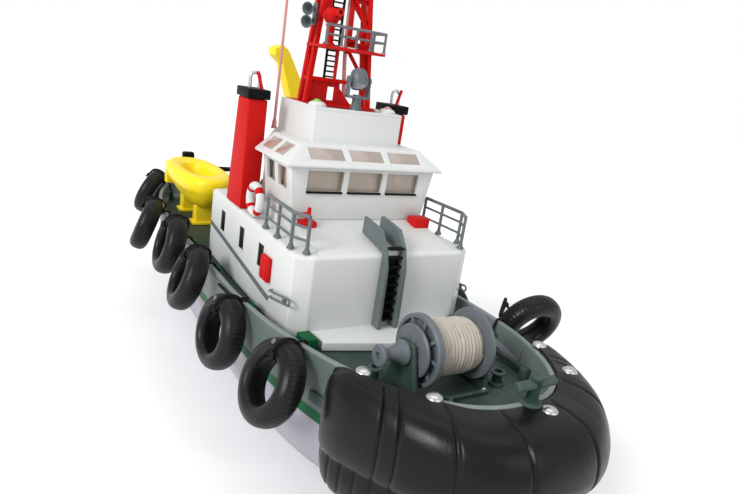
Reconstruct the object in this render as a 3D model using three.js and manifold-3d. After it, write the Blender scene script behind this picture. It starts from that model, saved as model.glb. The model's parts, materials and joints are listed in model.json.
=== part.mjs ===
// Radio-controlled harbour tug, about 1:50. Millimetres: +X to the bow, +Y to port, +Z up.
// The origin is the middle of the flat keel, on the surface that the boat stands on.
import * as THREE from 'three';
import { mergeVertices } from 'three/addons/utils/BufferGeometryUtils.js';
import Module from 'manifold-3d';

const wasm = await Module();
wasm.setup();

// ---- Driving dimensions -------------------------------------------------------------------
const GAP = 0.3;                  // clearance between two pieces that touch
const FENDER_FRONT_X = 284;
const HULL_BOW_X = 248;
const STERN_X = -264;
const HALF_BEAM = 83;             // hull only, without the tyres
const BOW_SHOULDER_X = 50;        // the bow rounds off ahead of this
const STERN_SHOULDER_X = -100;    // the stern rounds off behind this
const BOW_FULLNESS = 2.35;
const STERN_FULLNESS = 2.8;
const HULL_WALL = 2.5;
const DECK_LEDGE = 1.5;
const DECK_Z = 86;
const DECK_THICKNESS = 1.7;
const SHEER_MID_Z = 95.5;
const SHEER_BOW_RISE = 12.5;
const SHEER_STERN_RISE = 9;

const FENDER_CENTRE_X = 100;
const FENDER_HALF_BEAM = 88;
const FENDER_FULLNESS = 2.6;
const FENDER_TOP_Z = 105.5;
const FENDER_END_ANGLE = 50;

const ROOF_Z = 142;               // top of the deckhouse
const HOUSE_FRONT_X = 119;
const HOUSE_AFT_X = -55;
const CABIN_BASE_Z = 151;         // raised part of the roof that the wheelhouse stands on
const CABIN_BASE_HALF_WIDTH = 52;
const EAVE_Z = 187.6;
const ROOF_TOP_Z = 201.1;
const BOX_TOP_Z = 222;
const BOX_HALF_WIDTH = 35;

const SHAFT_Z = 20;
const SHAFT_Y = 28;
const PROPELLER_X = -216;
const PROPELLER_RADIUS = 13;

const WINCH_X = 190;
const WINCH_Z = 112;
const WINCH_FLANGE_RADIUS = 20.5;

const LAMP_X = 44;
const LAMP_Z = 244.5;
const LAMP_DIP = 65;              // the lamp points down at the foredeck, in degrees
const CRANE_X = -98;
const CRANE_Y = 48;
const CRANE_PIVOT_Z = 162;
const BOOM_TIP = [-88, -6.5, 259];

const TYRE_RADIUS = 25;
const TYRE_HOLE_RADIUS = 13.5;
const TYRE_WIDTH = 16;
// Each tyre's place along the hull, the height of its centre, how far it faces towards the bow
// and how far its face looks up, in degrees. The tops lean on the side and the feet stand out.
const TYRES = [
  { x: 149, z: 82, turn: -8, lean: 24 },
  { x: 74, z: 76.5, turn: 3, lean: 13 },
  { x: 2, z: 87, turn: -7, lean: 20 },
  { x: -62, z: 92, turn: -4, lean: 15 },
  { x: -141, z: 86, turn: -14, lean: 20 },
  { x: -236, z: 92, turn: 2, lean: 23 },
];
// The first tyre to port has turned across the side: its tread is at the bulwark and its face is
// at the end of the bow fender. Angles in degrees.
const TURNED_TYRE = { centre: [152.5, 101.8, 97.5], yaw: 95, lean: 22 };

// ---- Colours ------------------------------------------------------------------------------
const paint = (color, roughness = 0.45, metalness = 0) =>
  new THREE.MeshStandardMaterial({ color, roughness, metalness });
const WHITE = paint(0xe9ebe8);
const HULL_GREY = paint(0x6f8480);
const DECK_GREEN = paint(0x12382d, 0.6);
const RED = paint(0xc4161a, 0.35);
const BLACK = paint(0x161616, 0.5);
const RUBBER = paint(0x1b1c1d, 0.7);
const GREY = paint(0x6b7276, 0.5);
const CHEEK_GREY = paint(0x78888a, 0.5);
const YELLOW = paint(0xf6cf1c, 0.35);
const ROPE = paint(0xcbbca6, 0.9);
const SILVER = paint(0xb9bcbe, 0.3, 0.8);
const BRASS = paint(0xb08d46, 0.35, 0.8);
const GREEN_LENS = paint(0x7fd457, 0.3);
const RED_LENS = paint(0xe8a9b4, 0.3);
const CLEAR = paint(0xc9b9a6, 0.15);
const BOARD_GREEN = paint(0x1f6b3a, 0.6);
const BATTERY_BLUE = paint(0x2c4f9e, 0.5);

// ---- Solid helpers ------------------------------------------------------------------------
const boat = new THREE.Group();

function solid(geometry) {
  const bare = geometry.clone();
  bare.deleteAttribute('normal');
  bare.deleteAttribute('uv');
  const merged = mergeVertices(bare, 1e-4);
  return new wasm.Manifold(new wasm.Mesh({
    numProp: 3,
    vertProperties: new Float32Array(merged.attributes.position.array),
    triVerts: new Uint32Array(merged.index.array),
  }));
}

function surface(body) {
  const mesh = body.getMesh();
  const geometry = new THREE.BufferGeometry();
  geometry.setAttribute('position', new THREE.BufferAttribute(mesh.vertProperties.slice(), 3));
  geometry.setIndex(new THREE.BufferAttribute(mesh.triVerts.slice(), 1));
  geometry.computeVertexNormals();
  return geometry;
}

const join = (...parts) => parts.reduce((whole, part) => whole.add(part));
const cut = (body, ...tools) => tools.reduce((left, tool) => left.subtract(tool), body);

function put(name, body, material) {
  const geometry = body instanceof THREE.BufferGeometry ? body : surface(body);
  const mesh = new THREE.Mesh(geometry, material);
  mesh.name = name;
  boat.add(mesh);
  return mesh;
}

// A box from its low corner to its high corner.
function block(x0, x1, y0, y1, z0, z1) {
  const geometry = new THREE.BoxGeometry(x1 - x0, y1 - y0, z1 - z0);
  return solid(geometry.translate((x0 + x1) / 2, (y0 + y1) / 2, (z0 + z1) / 2));
}

// A round bar from one point to another, or a cone when the two radii differ.
function bar(from, to, radius, sides = 8, endRadius = radius) {
  const start = new THREE.Vector3(...from);
  const run = new THREE.Vector3(...to).sub(start);
  const geometry = new THREE.CylinderGeometry(endRadius, radius, run.length(), sides);
  geometry.rotateY(Math.PI / sides);
  geometry.translate(0, run.length() / 2, 0);
  const up = new THREE.Vector3(0, 1, 0);
  const turn = new THREE.Quaternion().setFromUnitVectors(up, run.clone().normalize());
  return solid(geometry.applyQuaternion(turn).translate(...from));
}

// A shape drawn in the XZ plane and given a width from y0 to y1.
function plateXZ(points, y0, y1) {
  const shape = new THREE.Shape(points.map(([x, z]) => new THREE.Vector2(x, z)));
  const geometry = new THREE.ExtrudeGeometry(shape, { depth: y1 - y0, bevelEnabled: false });
  return solid(geometry.rotateX(Math.PI / 2).translate(0, y1, 0));
}

// A body of revolution about +Z, from [radius, height] points that start and end on the axis.
function turned(profile, segments) {
  const points = profile.map(([r, z]) => new THREE.Vector2(r, z));
  return solid(new THREE.LatheGeometry(points, segments).rotateX(Math.PI / 2));
}

// A solid through rings of equal length, each a list of [x, y, z], anticlockwise seen from above.
function stack(rings) {
  const count = rings[0].length;
  const positions = rings.flat(2);
  const flat = rings[0].map(([x, y]) => new THREE.Vector2(x, y));
  const faces = [];
  for (const [a, b, c] of THREE.ShapeUtils.triangulateShape(flat, [])) {
    const top = (rings.length - 1) * count;
    faces.push(a, c, b, top + a, top + b, top + c);
  }
  for (let level = 0; level + 1 < rings.length; level += 1) {
    for (let i = 0; i < count; i += 1) {
      const j = (i + 1) % count;
      const low = level * count;
      const high = low + count;
      faces.push(low + i, low + j, high + j, low + i, high + j, high + i);
    }
  }
  const geometry = new THREE.BufferGeometry();
  geometry.setAttribute('position', new THREE.Float32BufferAttribute(positions, 3));
  geometry.setIndex(faces);
  return solid(geometry);
}

// A plan outline that is the same on both sides, from its port half given bow to stern.
function mirrored(half) {
  const starboard = half.map(([x, y]) => [x, -y]).reverse();
  return [...half, ...starboard];
}
const ring = (outline, z) => outline.map(([x, y]) => [x, y, z]);

const bothSides = [['port', 1], ['starboard', -1]];
const flipY = (body, side) => (side > 0 ? body : body.mirror([0, 1, 0]));

// ---- Hull form ----------------------------------------------------------------------------
// Waterlines from the flat bottom to the sheer: height, half-beam, bow end and stern end.
const WATERLINES = [
  { z: 0, beam: 38, bow: 138, stern: -138 },
  { z: 4, beam: 51, bow: 165, stern: -146 },
  { z: 14, beam: 65, bow: 196, stern: -164 },
  { z: 30, beam: 74.5, bow: 219, stern: -192 },
  { z: 50, beam: 80, bow: 237, stern: -228 },
  { z: 62, beam: 82, bow: 243, stern: -249 },
  { z: 102, beam: HALF_BEAM, bow: HULL_BOW_X, stern: STERN_X },
];

function waterline(z) {
  const above = Math.max(1, WATERLINES.findIndex((level) => level.z >= z));
  const [low, high] = [WATERLINES[above - 1], WATERLINES[above]];
  const share = (z - low.z) / (high.z - low.z);
  const between = (key) => low[key] + share * (high[key] - low[key]);
  return { beam: between('beam'), bow: between('bow'), stern: between('stern') };
}

function hullOutline(z, inset = 0, steps = 15) {
  const { beam, bow, stern } = waterline(z);
  const half = (length, fullness, centre, from) => Array.from({ length: steps + 1 }, (_, i) => {
    const angle = from + (Math.PI * i) / steps;
    const along = Math.sign(Math.cos(angle)) * Math.abs(Math.cos(angle)) ** (2 / fullness);
    const across = Math.sign(Math.sin(angle)) * Math.abs(Math.sin(angle)) ** (2 / fullness);
    return [centre + along * length, across * (beam - inset)];
  });
  return [
    ...half(bow - inset - BOW_SHOULDER_X, BOW_FULLNESS, BOW_SHOULDER_X, -Math.PI / 2),
    ...half(STERN_SHOULDER_X - stern - inset, STERN_FULLNESS, STERN_SHOULDER_X, Math.PI / 2),
  ];
}

function sheerZ(x) {
  const bowShare = Math.max(0, (x - 60) / 192);
  const sternShare = Math.max(0, (STERN_SHOULDER_X - x) / (STERN_SHOULDER_X - STERN_X));
  return SHEER_MID_Z + SHEER_BOW_RISE * bowShare + SHEER_STERN_RISE * sternShare ** 2;
}

// Half-beam of the hull at the sheer, and the outward normal there in plan.
function hullSide(x) {
  const { beam, bow, stern } = waterline(102);
  const ahead = x > 0;
  const centre = ahead ? BOW_SHOULDER_X : STERN_SHOULDER_X;
  const length = ahead ? bow - centre : centre - stern;
  const fullness = ahead ? BOW_FULLNESS : STERN_FULLNESS;
  const share = Math.max(0, ahead ? x - centre : centre - x) / length;
  const y = beam * (1 - share ** fullness) ** (1 / fullness);
  const slope = (share ** (fullness - 1) / length) / ((y / beam) ** (fullness - 1) / beam);
  return { y, yaw: Math.atan(slope) * (ahead ? 1 : -1) };
}

// ---- Hull, deck and fenders ---------------------------------------------------------------
const hullBody = (grow) => stack(WATERLINES.map(({ z }, i) => {
  const top = i === WATERLINES.length - 1;
  return hullOutline(z, -grow).map(([x, y]) => [x, y, top ? sheerZ(x) : z - grow]);
}));

function hull() {
  const skeg = plateXZ([[-120, 0], [-214, 0], [-228, 40], [-228, 66], [-120, 66]], -2.5, 2.5);
  const tubes = [1, -1].map((side) =>
    bar([-158, side * SHAFT_Y, SHAFT_Z], [-201, side * SHAFT_Y, SHAFT_Z], 4.2, 12));
  const bores = [1, -1].map((side) =>
    bar([-140, side * SHAFT_Y, SHAFT_Z], [-202, side * SHAFT_Y, SHAFT_Z], 2.4, 12));
  const inner = HULL_WALL + DECK_LEDGE;
  const lowerHollow = stack([3, 14, 30, 50, 62, DECK_Z - 1.5].map((z) =>
    ring(hullOutline(Math.max(z, 5), inner), z)));
  const shelfZ = DECK_Z - DECK_THICKNESS - GAP;
  const upperHollow = stack([
    ring(hullOutline(shelfZ, HULL_WALL), shelfZ),
    ring(hullOutline(102, HULL_WALL), 102),
    ring(hullOutline(102, HULL_WALL), 140),
  ]);
  return cut(join(hullBody(0), skeg, ...tubes), lowerHollow, upperHollow, ...bores);
}
put('hull', hull(), HULL_GREY);

function mainDeck() {
  const plan = hullOutline(DECK_Z - DECK_THICKNESS - GAP, HULL_WALL + GAP);
  const plate = stack([ring(plan, DECK_Z - DECK_THICKNESS), ring(plan, DECK_Z)]);
  const hatch = block(-36, 76, -42, 42, DECK_Z - 5, DECK_Z + 5);
  return cut(plate, hatch);
}
put('main_deck', mainDeck(), DECK_GREEN);

// Distance from a centre on the middle line to a rounded outline, at an angle from dead ahead.
function reach(centreX, angle, inside) {
  let near = 0;
  let far = 400;
  for (let i = 0; i < 40; i += 1) {
    const middle = (near + far) / 2;
    const x = centreX + middle * Math.cos(angle);
    if (inside(x, Math.abs(middle * Math.sin(angle)))) near = middle;
    else far = middle;
  }
  return near;
}

function bowFender() {
  const centreX = 120;
  const length = FENDER_FRONT_X - FENDER_CENTRE_X;
  const insideFender = (x, y) => x < FENDER_FRONT_X
    && (Math.max(0, x - FENDER_CENTRE_X) / length) ** FENDER_FULLNESS
    + (y / FENDER_HALF_BEAM) ** FENDER_FULLNESS < 1;
  const lowHull = waterline(34);
  const lowLength = lowHull.bow - BOW_SHOULDER_X;
  const insideHull = (x, y) => (Math.max(0, x - BOW_SHOULDER_X) / lowLength) ** BOW_FULLNESS
    + (y / lowHull.beam) ** BOW_FULLNESS < 1;
  // Section: share of the depth from the hull to the outer edge, and height.
  const section = [
    [0, 34], [0.4, 34], [0.62, 38], [0.72, 46], [0.7, 54], [0.84, 57],
    [0.97, 66], [1, 80], [0.97, 92], [0.86, 101], [0.66, FENDER_TOP_Z], [0, FENDER_TOP_Z],
  ];
  const middleZ = 72;
  const stations = 25;
  const positions = [];
  for (let i = 0; i < stations; i += 1) {
    const angle = THREE.MathUtils.degToRad(FENDER_END_ANGLE) * ((2 * i) / (stations - 1) - 1);
    const inner = reach(centreX, angle, insideHull) - 4;
    const outer = reach(centreX, angle, insideFender);
    const fromEnd = Math.min(i, stations - 1 - i);
    const fullness = [0.72, 0.93, 1][Math.min(2, fromEnd)];
    for (const [share, z] of section) {
      const radius = inner + (outer - inner) * Math.max(0, share - (1 - fullness) * 0.35);
      const height = middleZ + (z - middleZ) * fullness;
      positions.push(centreX + radius * Math.cos(angle), radius * Math.sin(angle), height);
    }
  }
  const count = section.length;
  const faces = [];
  for (let i = 0; i + 1 < stations; i += 1) {
    for (let k = 0; k < count; k += 1) {
      const a = i * count + k;
      const b = i * count + ((k + 1) % count);
      faces.push(a, b + count, b, a, a + count, b + count);
    }
  }
  const flat = section.map(([share, z]) => new THREE.Vector2(share * 30, z));
  for (const [a, b, c] of THREE.ShapeUtils.triangulateShape(flat, [])) {
    const last = (stations - 1) * count;
    faces.push(a, b, c, last + a, last + c, last + b);
  }
  const geometry = new THREE.BufferGeometry();
  geometry.setAttribute('position', new THREE.Float32BufferAttribute(positions, 3));
  geometry.setIndex(faces);
  const clearance = stack([...WATERLINES.map(({ z }) => ring(hullOutline(z, -GAP), z)),
    ring(hullOutline(102, -GAP), 140)]);
  return cut(solid(geometry), clearance);
}
put('bow_fender', bowFender(), RUBBER);

// ---- Superstructure -----------------------------------------------------------------------
const grown = (outline, by) => outline.map(([x, y]) => [x + Math.sign(x - 20) * by, y + Math.sign(y) * by]);

function deckhouse() {
  const plan = mirrored([[HOUSE_FRONT_X, 57], [112, 67.5], [HOUSE_AFT_X, 66]]);
  const base = DECK_Z + GAP;
  const shell = stack([ring(plan, base), ring(plan, ROOF_Z - 2), ring(grown(plan, -1.6), ROOF_Z)]);
  const half = CABIN_BASE_HALF_WIDTH;
  const slope = plateXZ([[17, ROOF_Z - 4], [HOUSE_FRONT_X - 1.6, ROOF_Z - 4], [HOUSE_FRONT_X - 1.6, ROOF_Z],
    [72, CABIN_BASE_Z], [17, CABIN_BASE_Z]], -half, half);
  const rear = block(-10, 18, -46, 46, ROOF_Z - 4, CABIN_BASE_Z);
  const stepPlan = [[110, -54], [134, -52], [145, -10], [145, 10], [134, 52], [110, 54]];
  const step = stack([ring(stepPlan, base), ring(stepPlan, 92.5)]);
  const hollow = stack([ring(grown(plan, -2.2), base - 1), ring(grown(plan, -2.2), ROOF_Z - 2.2)]);
  return cut(join(shell, slope, rear, step), hollow);
}
put('deckhouse', deckhouse(), WHITE);

const CABIN_FOOT = [[70.7, -52], [70.7, 52], [18, 50], [18, -50]];
const CABIN_HEAD = [[72, -57], [72, 57], [18, 55], [18, -55]];
const cabinRings = (inset, z0, z1) =>
  [ring(grown(CABIN_FOOT, -inset), z0), ring(grown(CABIN_HEAD, -inset), z1)];

function wheelhouse() {
  const base = CABIN_BASE_Z + GAP;
  const head = EAVE_Z - GAP;
  const cabin = stack(cabinRings(0, base, head));
  const rear = block(-8, 20, -43, 43, base, head);
  const inside = join(stack(cabinRings(2, base - 1, head + 1)), block(-6, 22, -41, 41, base - 1, head + 1));
  const windows = [-1, 0, 1].map((i) => block(60, 80, i * 31 - 13.5, i * 31 + 13.5, 171, 185));
  const sideWindows = [[24, 40], [46, 62]].map(([x0, x1]) => block(x0, x1, -70, 70, 170, 184));
  return cut(join(cabin, rear), inside, ...windows, ...sideWindows);
}
put('wheelhouse', wheelhouse(), WHITE);

const EAVE = mirrored([[76.4, 61.4], [17, 61.4], [17, 47], [-14, 42]]);
const ROOF_TOP = mirrored([[63.2, 48], [17, 48], [16.9, 38], [-10, 36]]);

function wheelhouseRoof() {
  const canopy = stack([ring(EAVE, EAVE_Z), ring(EAVE, EAVE_Z + 1.6), ring(ROOF_TOP, ROOF_TOP_Z)]);
  const top = block(-8, 52, -BOX_HALF_WIDTH, BOX_HALF_WIDTH, ROOF_TOP_Z - 2, BOX_TOP_Z);
  const under = stack([
    ring([[69, -52], [69, 52], [21, 51], [21, -51]], EAVE_Z - 1),
    ring([[58, -42], [58, 42], [21, 42], [21, -42]], ROOF_TOP_Z - 2.2),
  ]);
  const topHollow = block(-5.5, 49.5, -32.5, 32.5, EAVE_Z - 1, BOX_TOP_Z - 2.5);
  const skylights = [-1, 0, 1].map((i) => block(65, 72.5, i * 31 - 13, i * 31 + 13, EAVE_Z - 3, 215));
  return cut(join(canopy, top), under, topHollow, ...skylights);
}
put('wheelhouse_roof', wheelhouseRoof(), WHITE);

function windowGlazing() {
  const shell = (inset) => stack([
    ring([[67 - inset, -50 + inset], [67 - inset, 50 - inset], [20.5 + inset, 48 - inset],
      [20.5 + inset, -48 + inset]], 166 - (inset > 0.5 ? 1 : 0)),
    ring([[67 - inset, -50.5 + inset], [67 - inset, 50.5 - inset], [21.5 + inset, 49.5 - inset],
      [21.5 + inset, -49.5 + inset]], EAVE_Z),
    ring([[57.2 - inset, -41.2 + inset], [57.2 - inset, 41.2 - inset], [21.5 + inset, 41.2 - inset],
      [21.5 + inset, -41.2 + inset]], ROOF_TOP_Z - 3 - (inset > 0.5 ? 0.9 : 0)),
  ]);
  return cut(shell(0), shell(0.9));
}
put('window_glazing', windowGlazing(), CLEAR);

function helmConsole() {
  const foot = CABIN_BASE_Z + GAP;
  const desk = plateXZ([[46, foot], [58, foot], [58, 170], [52, 176], [46, 173]], -15, 15);
  const lever = bar([52, 4, 170], [50, 7, 182], 1, 6);
  return join(desk, lever);
}
put('helm_console', helmConsole(), BLACK);

for (const [side, sign] of bothSides) {
  const dome = turned([[0, 0], [4.2, 0], [4.2, 3], [3, 5.6], [0, 6.6]], 14);
  const lens = sign > 0 ? RED_LENS : GREEN_LENS;
  put(`nav_light_${side}`, dome.translate([41, sign * 29, BOX_TOP_Z + GAP]), lens);
}

// ---- Funnels and what stands on the deckhouse roof ----------------------------------------
for (const [side, sign] of bothSides) {
  const body = plateXZ([[-20, ROOF_Z + GAP], [11, ROOF_Z + GAP], [11, 221.6], [-11, 221.6]], 52.4, 66.6);
  put(`funnel_${side}`, flipY(body, sign), RED);
  const cap = block(-12.5, 12.5, 51.2, 67.8, 221.6 + GAP, 228.5);
  put(`funnel_cap_${side}`, flipY(cap, sign), BLACK);
  const [low, high, radius] = [228.5 + GAP, 236, 3.5];
  const hoop = [];
  hoop.push(new THREE.Vector3(2, 60 - radius, low), new THREE.Vector3(2, 60 - radius, high - 3));
  for (let i = 0; i <= 6; i += 1) {
    const angle = Math.PI * (1 - i / 6);
    hoop.push(new THREE.Vector3(2, 60 + radius * Math.cos(angle), high + radius * Math.sin(angle)));
  }
  hoop.push(new THREE.Vector3(2, 60 + radius, high - 3), new THREE.Vector3(2, 60 + radius, low));
  const wire = new THREE.Shape().absarc(0, 0, 1.3, 0, 2 * Math.PI);
  const path = new THREE.CatmullRomCurve3(hoop, false, 'centripetal');
  const pipe = new THREE.ExtrudeGeometry(wire,
    { steps: 14, curveSegments: 4, bevelEnabled: false, extrudePath: path });
  put(`exhaust_pipe_${side}`, flipY(solid(pipe), sign), SILVER);

  const buoy = new THREE.TorusGeometry(9.5, 3, 8, 20).rotateX(Math.PI / 2).translate(33, sign * 64, 155.2);
  put(`life_ring_${side}`, solid(buoy), WHITE);
}

function roofRailing() {
  const feet = [[59, 65], [80, 65.4], [102, 65.8], [113, 60]];
  const [foot, top] = [ROOF_Z + GAP, 166];
  const posts = feet.map(([x, y]) => bar([x, y, foot], [x, y, top], 1.3, 4));
  const rails = [top - 1, 158, 150].flatMap((z) => feet.slice(1).map(([x, y], i) =>
    bar([feet[i][0], feet[i][1], z], [x, y, z], z > 160 ? 1.1 : 0.8, 4)));
  return join(...posts, ...rails);
}
for (const [side, sign] of bothSides) put(`roof_railing_${side}`, flipY(roofRailing(), sign), GREY);

function foredeckLadder() {
  const front = HOUSE_FRONT_X + GAP;
  const cheek = [[front, 93], [127.5, 93], [126.5, 136], [123.5, 148], [116, 156], [99, 157.5],
    [99, ROOF_Z + 5], [front - 1, ROOF_Z + GAP + 0.2], [front, ROOF_Z - 1]];
  const cheeks = [[-12, -9.8], [2.6, 7.2]].map(([y0, y1]) => plateXZ(cheek, y0, y1));
  const rungs = [99, 107, 115, 123, 131, 139, 146].map((z) => block(120.5, 123.5, -10.5, 3.5, z, z + 2));
  return join(...cheeks, ...rungs);
}
put('foredeck_ladder', foredeckLadder(), CHEEK_GREY);

// ---- Searchlight --------------------------------------------------------------------------
put('searchlight_pedestal', turned([[0, 0], [4.8, 0], [4, 2.5], [3.1, 9.5], [0, 9.5]], 14)
  .translate([LAMP_X, 0, BOX_TOP_Z + GAP]), GREY);

function searchlightYoke() {
  const floorZ = BOX_TOP_Z + GAP + 9.5 + GAP;
  const floor = block(LAMP_X - 3, LAMP_X + 3, -10.4, 10.4, floorZ, floorZ + 1.8);
  const arms = [1, -1].map((side) => block(LAMP_X - 2.5, LAMP_X + 2.5,
    Math.min(side * 8.7, side * 10.4), Math.max(side * 8.7, side * 10.4), floorZ, LAMP_Z + 2.5));
  return join(floor, ...arms);
}
put('searchlight_yoke', searchlightYoke(), GREY);

function searchlightLamp() {
  const profile = [[0, -10], [3.6, -9.6], [6.6, -6], [7.5, -1], [7.5, 5], [6.6, 5], [6, 3.6], [0, 3.6]];
  return turned(profile, 18).rotate([0, 90 + LAMP_DIP, 0]).translate([LAMP_X, 0, LAMP_Z]);
}
put('searchlight_lamp', searchlightLamp(), GREY);

// ---- Mast ---------------------------------------------------------------------------------
const MAST_FOOT_Z = BOX_TOP_Z + GAP;
const MAST_TOP_Z = 372;
const mastHalfWidth = (z) => 26.5 - (z - MAST_FOOT_Z) * 0.105;
const mastFrontX = (z) => 16 - (z - MAST_FOOT_Z) * 0.045;
const mastRearX = (z) => 7 - (z - MAST_FOOT_Z) * 0.045;

function mast() {
  const corner = (side, front, z) => [front ? mastFrontX(z) : mastRearX(z), side * mastHalfWidth(z), z];
  const beam = (a, b, radius = 1.9) => bar(a, b, radius, 4);
  const parts = [block(-7.5, 19, -31, 31, MAST_FOOT_Z, MAST_FOOT_Z + 2)];
  for (const side of [1, -1]) {
    for (const front of [true, false]) {
      parts.push(beam(corner(side, front, MAST_FOOT_Z + 1), corner(side, front, MAST_TOP_Z), 2.3));
    }
    parts.push(beam(corner(side, true, 226), corner(side, false, 262), 1.3));
    parts.push(beam(corner(side, false, 266), corner(side, true, 300), 1.3));
  }
  for (const z of [241, 264, 301, 336, MAST_TOP_Z - 2]) {
    const half = mastHalfWidth(z);
    parts.push(beam([mastFrontX(z), -half, z], [mastFrontX(z), half, z]));
    parts.push(beam([mastRearX(z), -half, z], [mastRearX(z), half, z]));
    for (const side of [1, -1]) {
      parts.push(beam([mastFrontX(z), side * half, z], [mastRearX(z), side * half, z]));
    }
  }
  parts.push(beam(corner(1, true, 268), corner(0.1, true, 262), 1.3));
  parts.push(beam(corner(1, true, 238), [mastFrontX(263), 5, 263], 1.5));
  parts.push(beam(corner(1, true, 276), [mastFrontX(301), 5, 301], 1.5));
  const platform = block(mastRearX(264) - 1, 34, -24.5, 24.5, 263, 265);
  const cap = block(mastRearX(370) - 2.5, mastFrontX(370) + 2.5, -12, 12, MAST_TOP_Z - 3, MAST_TOP_Z);
  return cut(join(...parts, platform, cap), block(8, 12.2, -16, 16, 262, 266));
}
put('mast', mast(), RED);

function mastLadder() {
  const [low, high] = [226, 361];
  const rails = [-11.5, -2.5].map((y) => bar([11.8, y, low], [5.6, y + 4, high], 0.9, 4));
  const rungs = Array.from({ length: 16 }, (_, i) => {
    const z = low + 4 + i * 8.2;
    const share = (z - low) / (high - low);
    const [x, y] = [11.8 - 6.2 * share, -11.5 + 4 * share];
    return bar([x, y, z], [x, y + 9, z], 0.7, 4);
  });
  return join(...rails, ...rungs);
}
put('mast_ladder', mastLadder(), BLACK);

function platformRailing() {
  const corners = [[33, -23.5], [33, 23.5], [17, 23.5]];
  const [low, high] = [265 + GAP, 279];
  const feet = [...corners, [33, -11.75], [33, 0], [33, 11.75]];
  const posts = feet.map(([x, y]) => bar([x, y, low], [x, y, high], 1, 4));
  const rails = [high - 0.8, 272].flatMap((z) => corners.slice(1).map(([x, y], i) =>
    bar([corners[i][0], corners[i][1], z], [x, y, z], 0.9, 4)));
  return join(...posts, ...rails);
}
put('platform_railing', platformRailing(), GREY);

function loudhailer() {
  const legY = -mastHalfWidth(285) - 2.6;
  const bracket = block(8.5, 12.5, legY - 2.4, legY, 282, 297);
  const horns = [285.5, 293.5].map((z) =>
    turned([[0, 0], [1.6, 0], [2, 5], [4.4, 11], [3.4, 11], [0, 6]], 12)
      .rotate([0, 100, -35]).translate([10, legY - 1.6, z]));
  return join(bracket, ...horns);
}
put('loudhailer', loudhailer(), GREY);

const RADAR_Z = MAST_TOP_Z + GAP;
function radarScanner() {
  const motorBody = turned([[0, 0], [5, 0], [5, 5], [2, 6.5], [0, 6.5]], 12).translate([4, 0, RADAR_Z]);
  const arm = block(1.4, 6.6, -21, 21, RADAR_Z + 6, RADAR_Z + 11);
  return join(motorBody, arm);
}
put('radar_scanner', radarScanner(), WHITE);

const MONITOR_X = 23;
const MONITOR_Y = -16.5;
function fireMonitor() {
  const post = bar([MONITOR_X, MONITOR_Y, 265 + GAP], [MONITOR_X, MONITOR_Y, 280], 3, 10);
  const swivel = turned([[0, 0], [4, 0.8], [5.6, 4], [5.6, 7], [4, 10.2], [0, 11]], 16)
    .translate([MONITOR_X, MONITOR_Y, 279]);
  const nozzle = bar([MONITOR_X, MONITOR_Y, 284.5], [MONITOR_X + 13, MONITOR_Y, 287], 2.6, 10, 1.9);
  return join(post, swivel, nozzle);
}
put('fire_monitor', fireMonitor(), RED);

function monitorHose() {
  const hoseX = (z) => 11.8 - (z - 226) * 0.046;
  const route = [[7, 227], [6, 241], [4.5, 258], [4.2, 275], [4.2, 300], [4.4, 330], [4.6, 350], [4.8, 364]]
    .map(([y, z]) => new THREE.Vector3(hoseX(z), y, z));
  const section = new THREE.Shape().absarc(0, 0, 1.5, 0, 2 * Math.PI);
  const path = new THREE.CatmullRomCurve3(route, false, 'centripetal');
  return solid(new THREE.ExtrudeGeometry(section,
    { steps: 14, curveSegments: 4, bevelEnabled: false, extrudePath: path }));
}
put('monitor_hose', monitorHose(), RED_LENS);

const antennaFoot = [0, -41.5, ROOF_TOP_Z + GAP];
put('antenna', join(
  bar(antennaFoot, [0, -41.5, ROOF_TOP_Z + 6], 2.2, 10),
  bar([0, -41.5, ROOF_TOP_Z + 5], [2, -41.5, 415], 1.1, 8, 0.8),
), RED_LENS);

// ---- Crane --------------------------------------------------------------------------------
const boomHeading = Math.atan2(BOOM_TIP[1] - CRANE_Y, BOOM_TIP[0] - CRANE_X);
const boomRun = Math.hypot(BOOM_TIP[0] - CRANE_X, BOOM_TIP[1] - CRANE_Y);
const boomRise = BOOM_TIP[2] - CRANE_PIVOT_Z;
const turnCrane = (body) => body.rotate([0, 0, THREE.MathUtils.radToDeg(boomHeading)])
  .translate([CRANE_X, CRANE_Y, 0]);

function craneColumn() {
  const base = bar([0, 0, DECK_Z + GAP], [0, 0, DECK_Z + 6], 13, 16);
  const post = bar([0, 0, DECK_Z + 5], [0, 0, CRANE_PIVOT_Z - 14], 9, 14, 7.5);
  const [earFoot, earTop] = [CRANE_PIVOT_Z - 18, CRANE_PIVOT_Z + 5];
  const earShape = [[-9, earFoot], [9, earFoot], [6, earTop], [-6, earTop]];
  const ears = [[-10.5, -8], [8, 10.5]].map(([y0, y1]) => plateXZ(earShape, y0, y1));
  const seat = block(-9, 9, -10.5, 10.5, CRANE_PIVOT_Z - 20, CRANE_PIVOT_Z - 14);
  return turnCrane(join(base, post, seat, ...ears));
}
put('crane_column', craneColumn(), YELLOW);

function craneBoom() {
  const length = Math.hypot(boomRun, boomRise);
  const luff = Math.atan2(boomRise, boomRun);
  const arm = [[-6, -5], [0, -7], [14, -8], [length * 0.6, -9], [length * 0.9, -5], [length - 2, -9],
    [length + 3, -7], [length + 2, 2], [length - 4, 5], [length * 0.6, 8], [14, 8], [-6, 5]];
  const web = plateXZ(arm, -5.5, 5.5);
  const boss = bar([0, -7.6, 0], [0, 7.6, 0], 5, 12);
  const tilt = -THREE.MathUtils.radToDeg(luff);
  return turnCrane(join(web, boss).rotate([0, tilt, 0]).translate([0, 0, CRANE_PIVOT_Z]));
}
put('crane_boom', craneBoom(), YELLOW);

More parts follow.
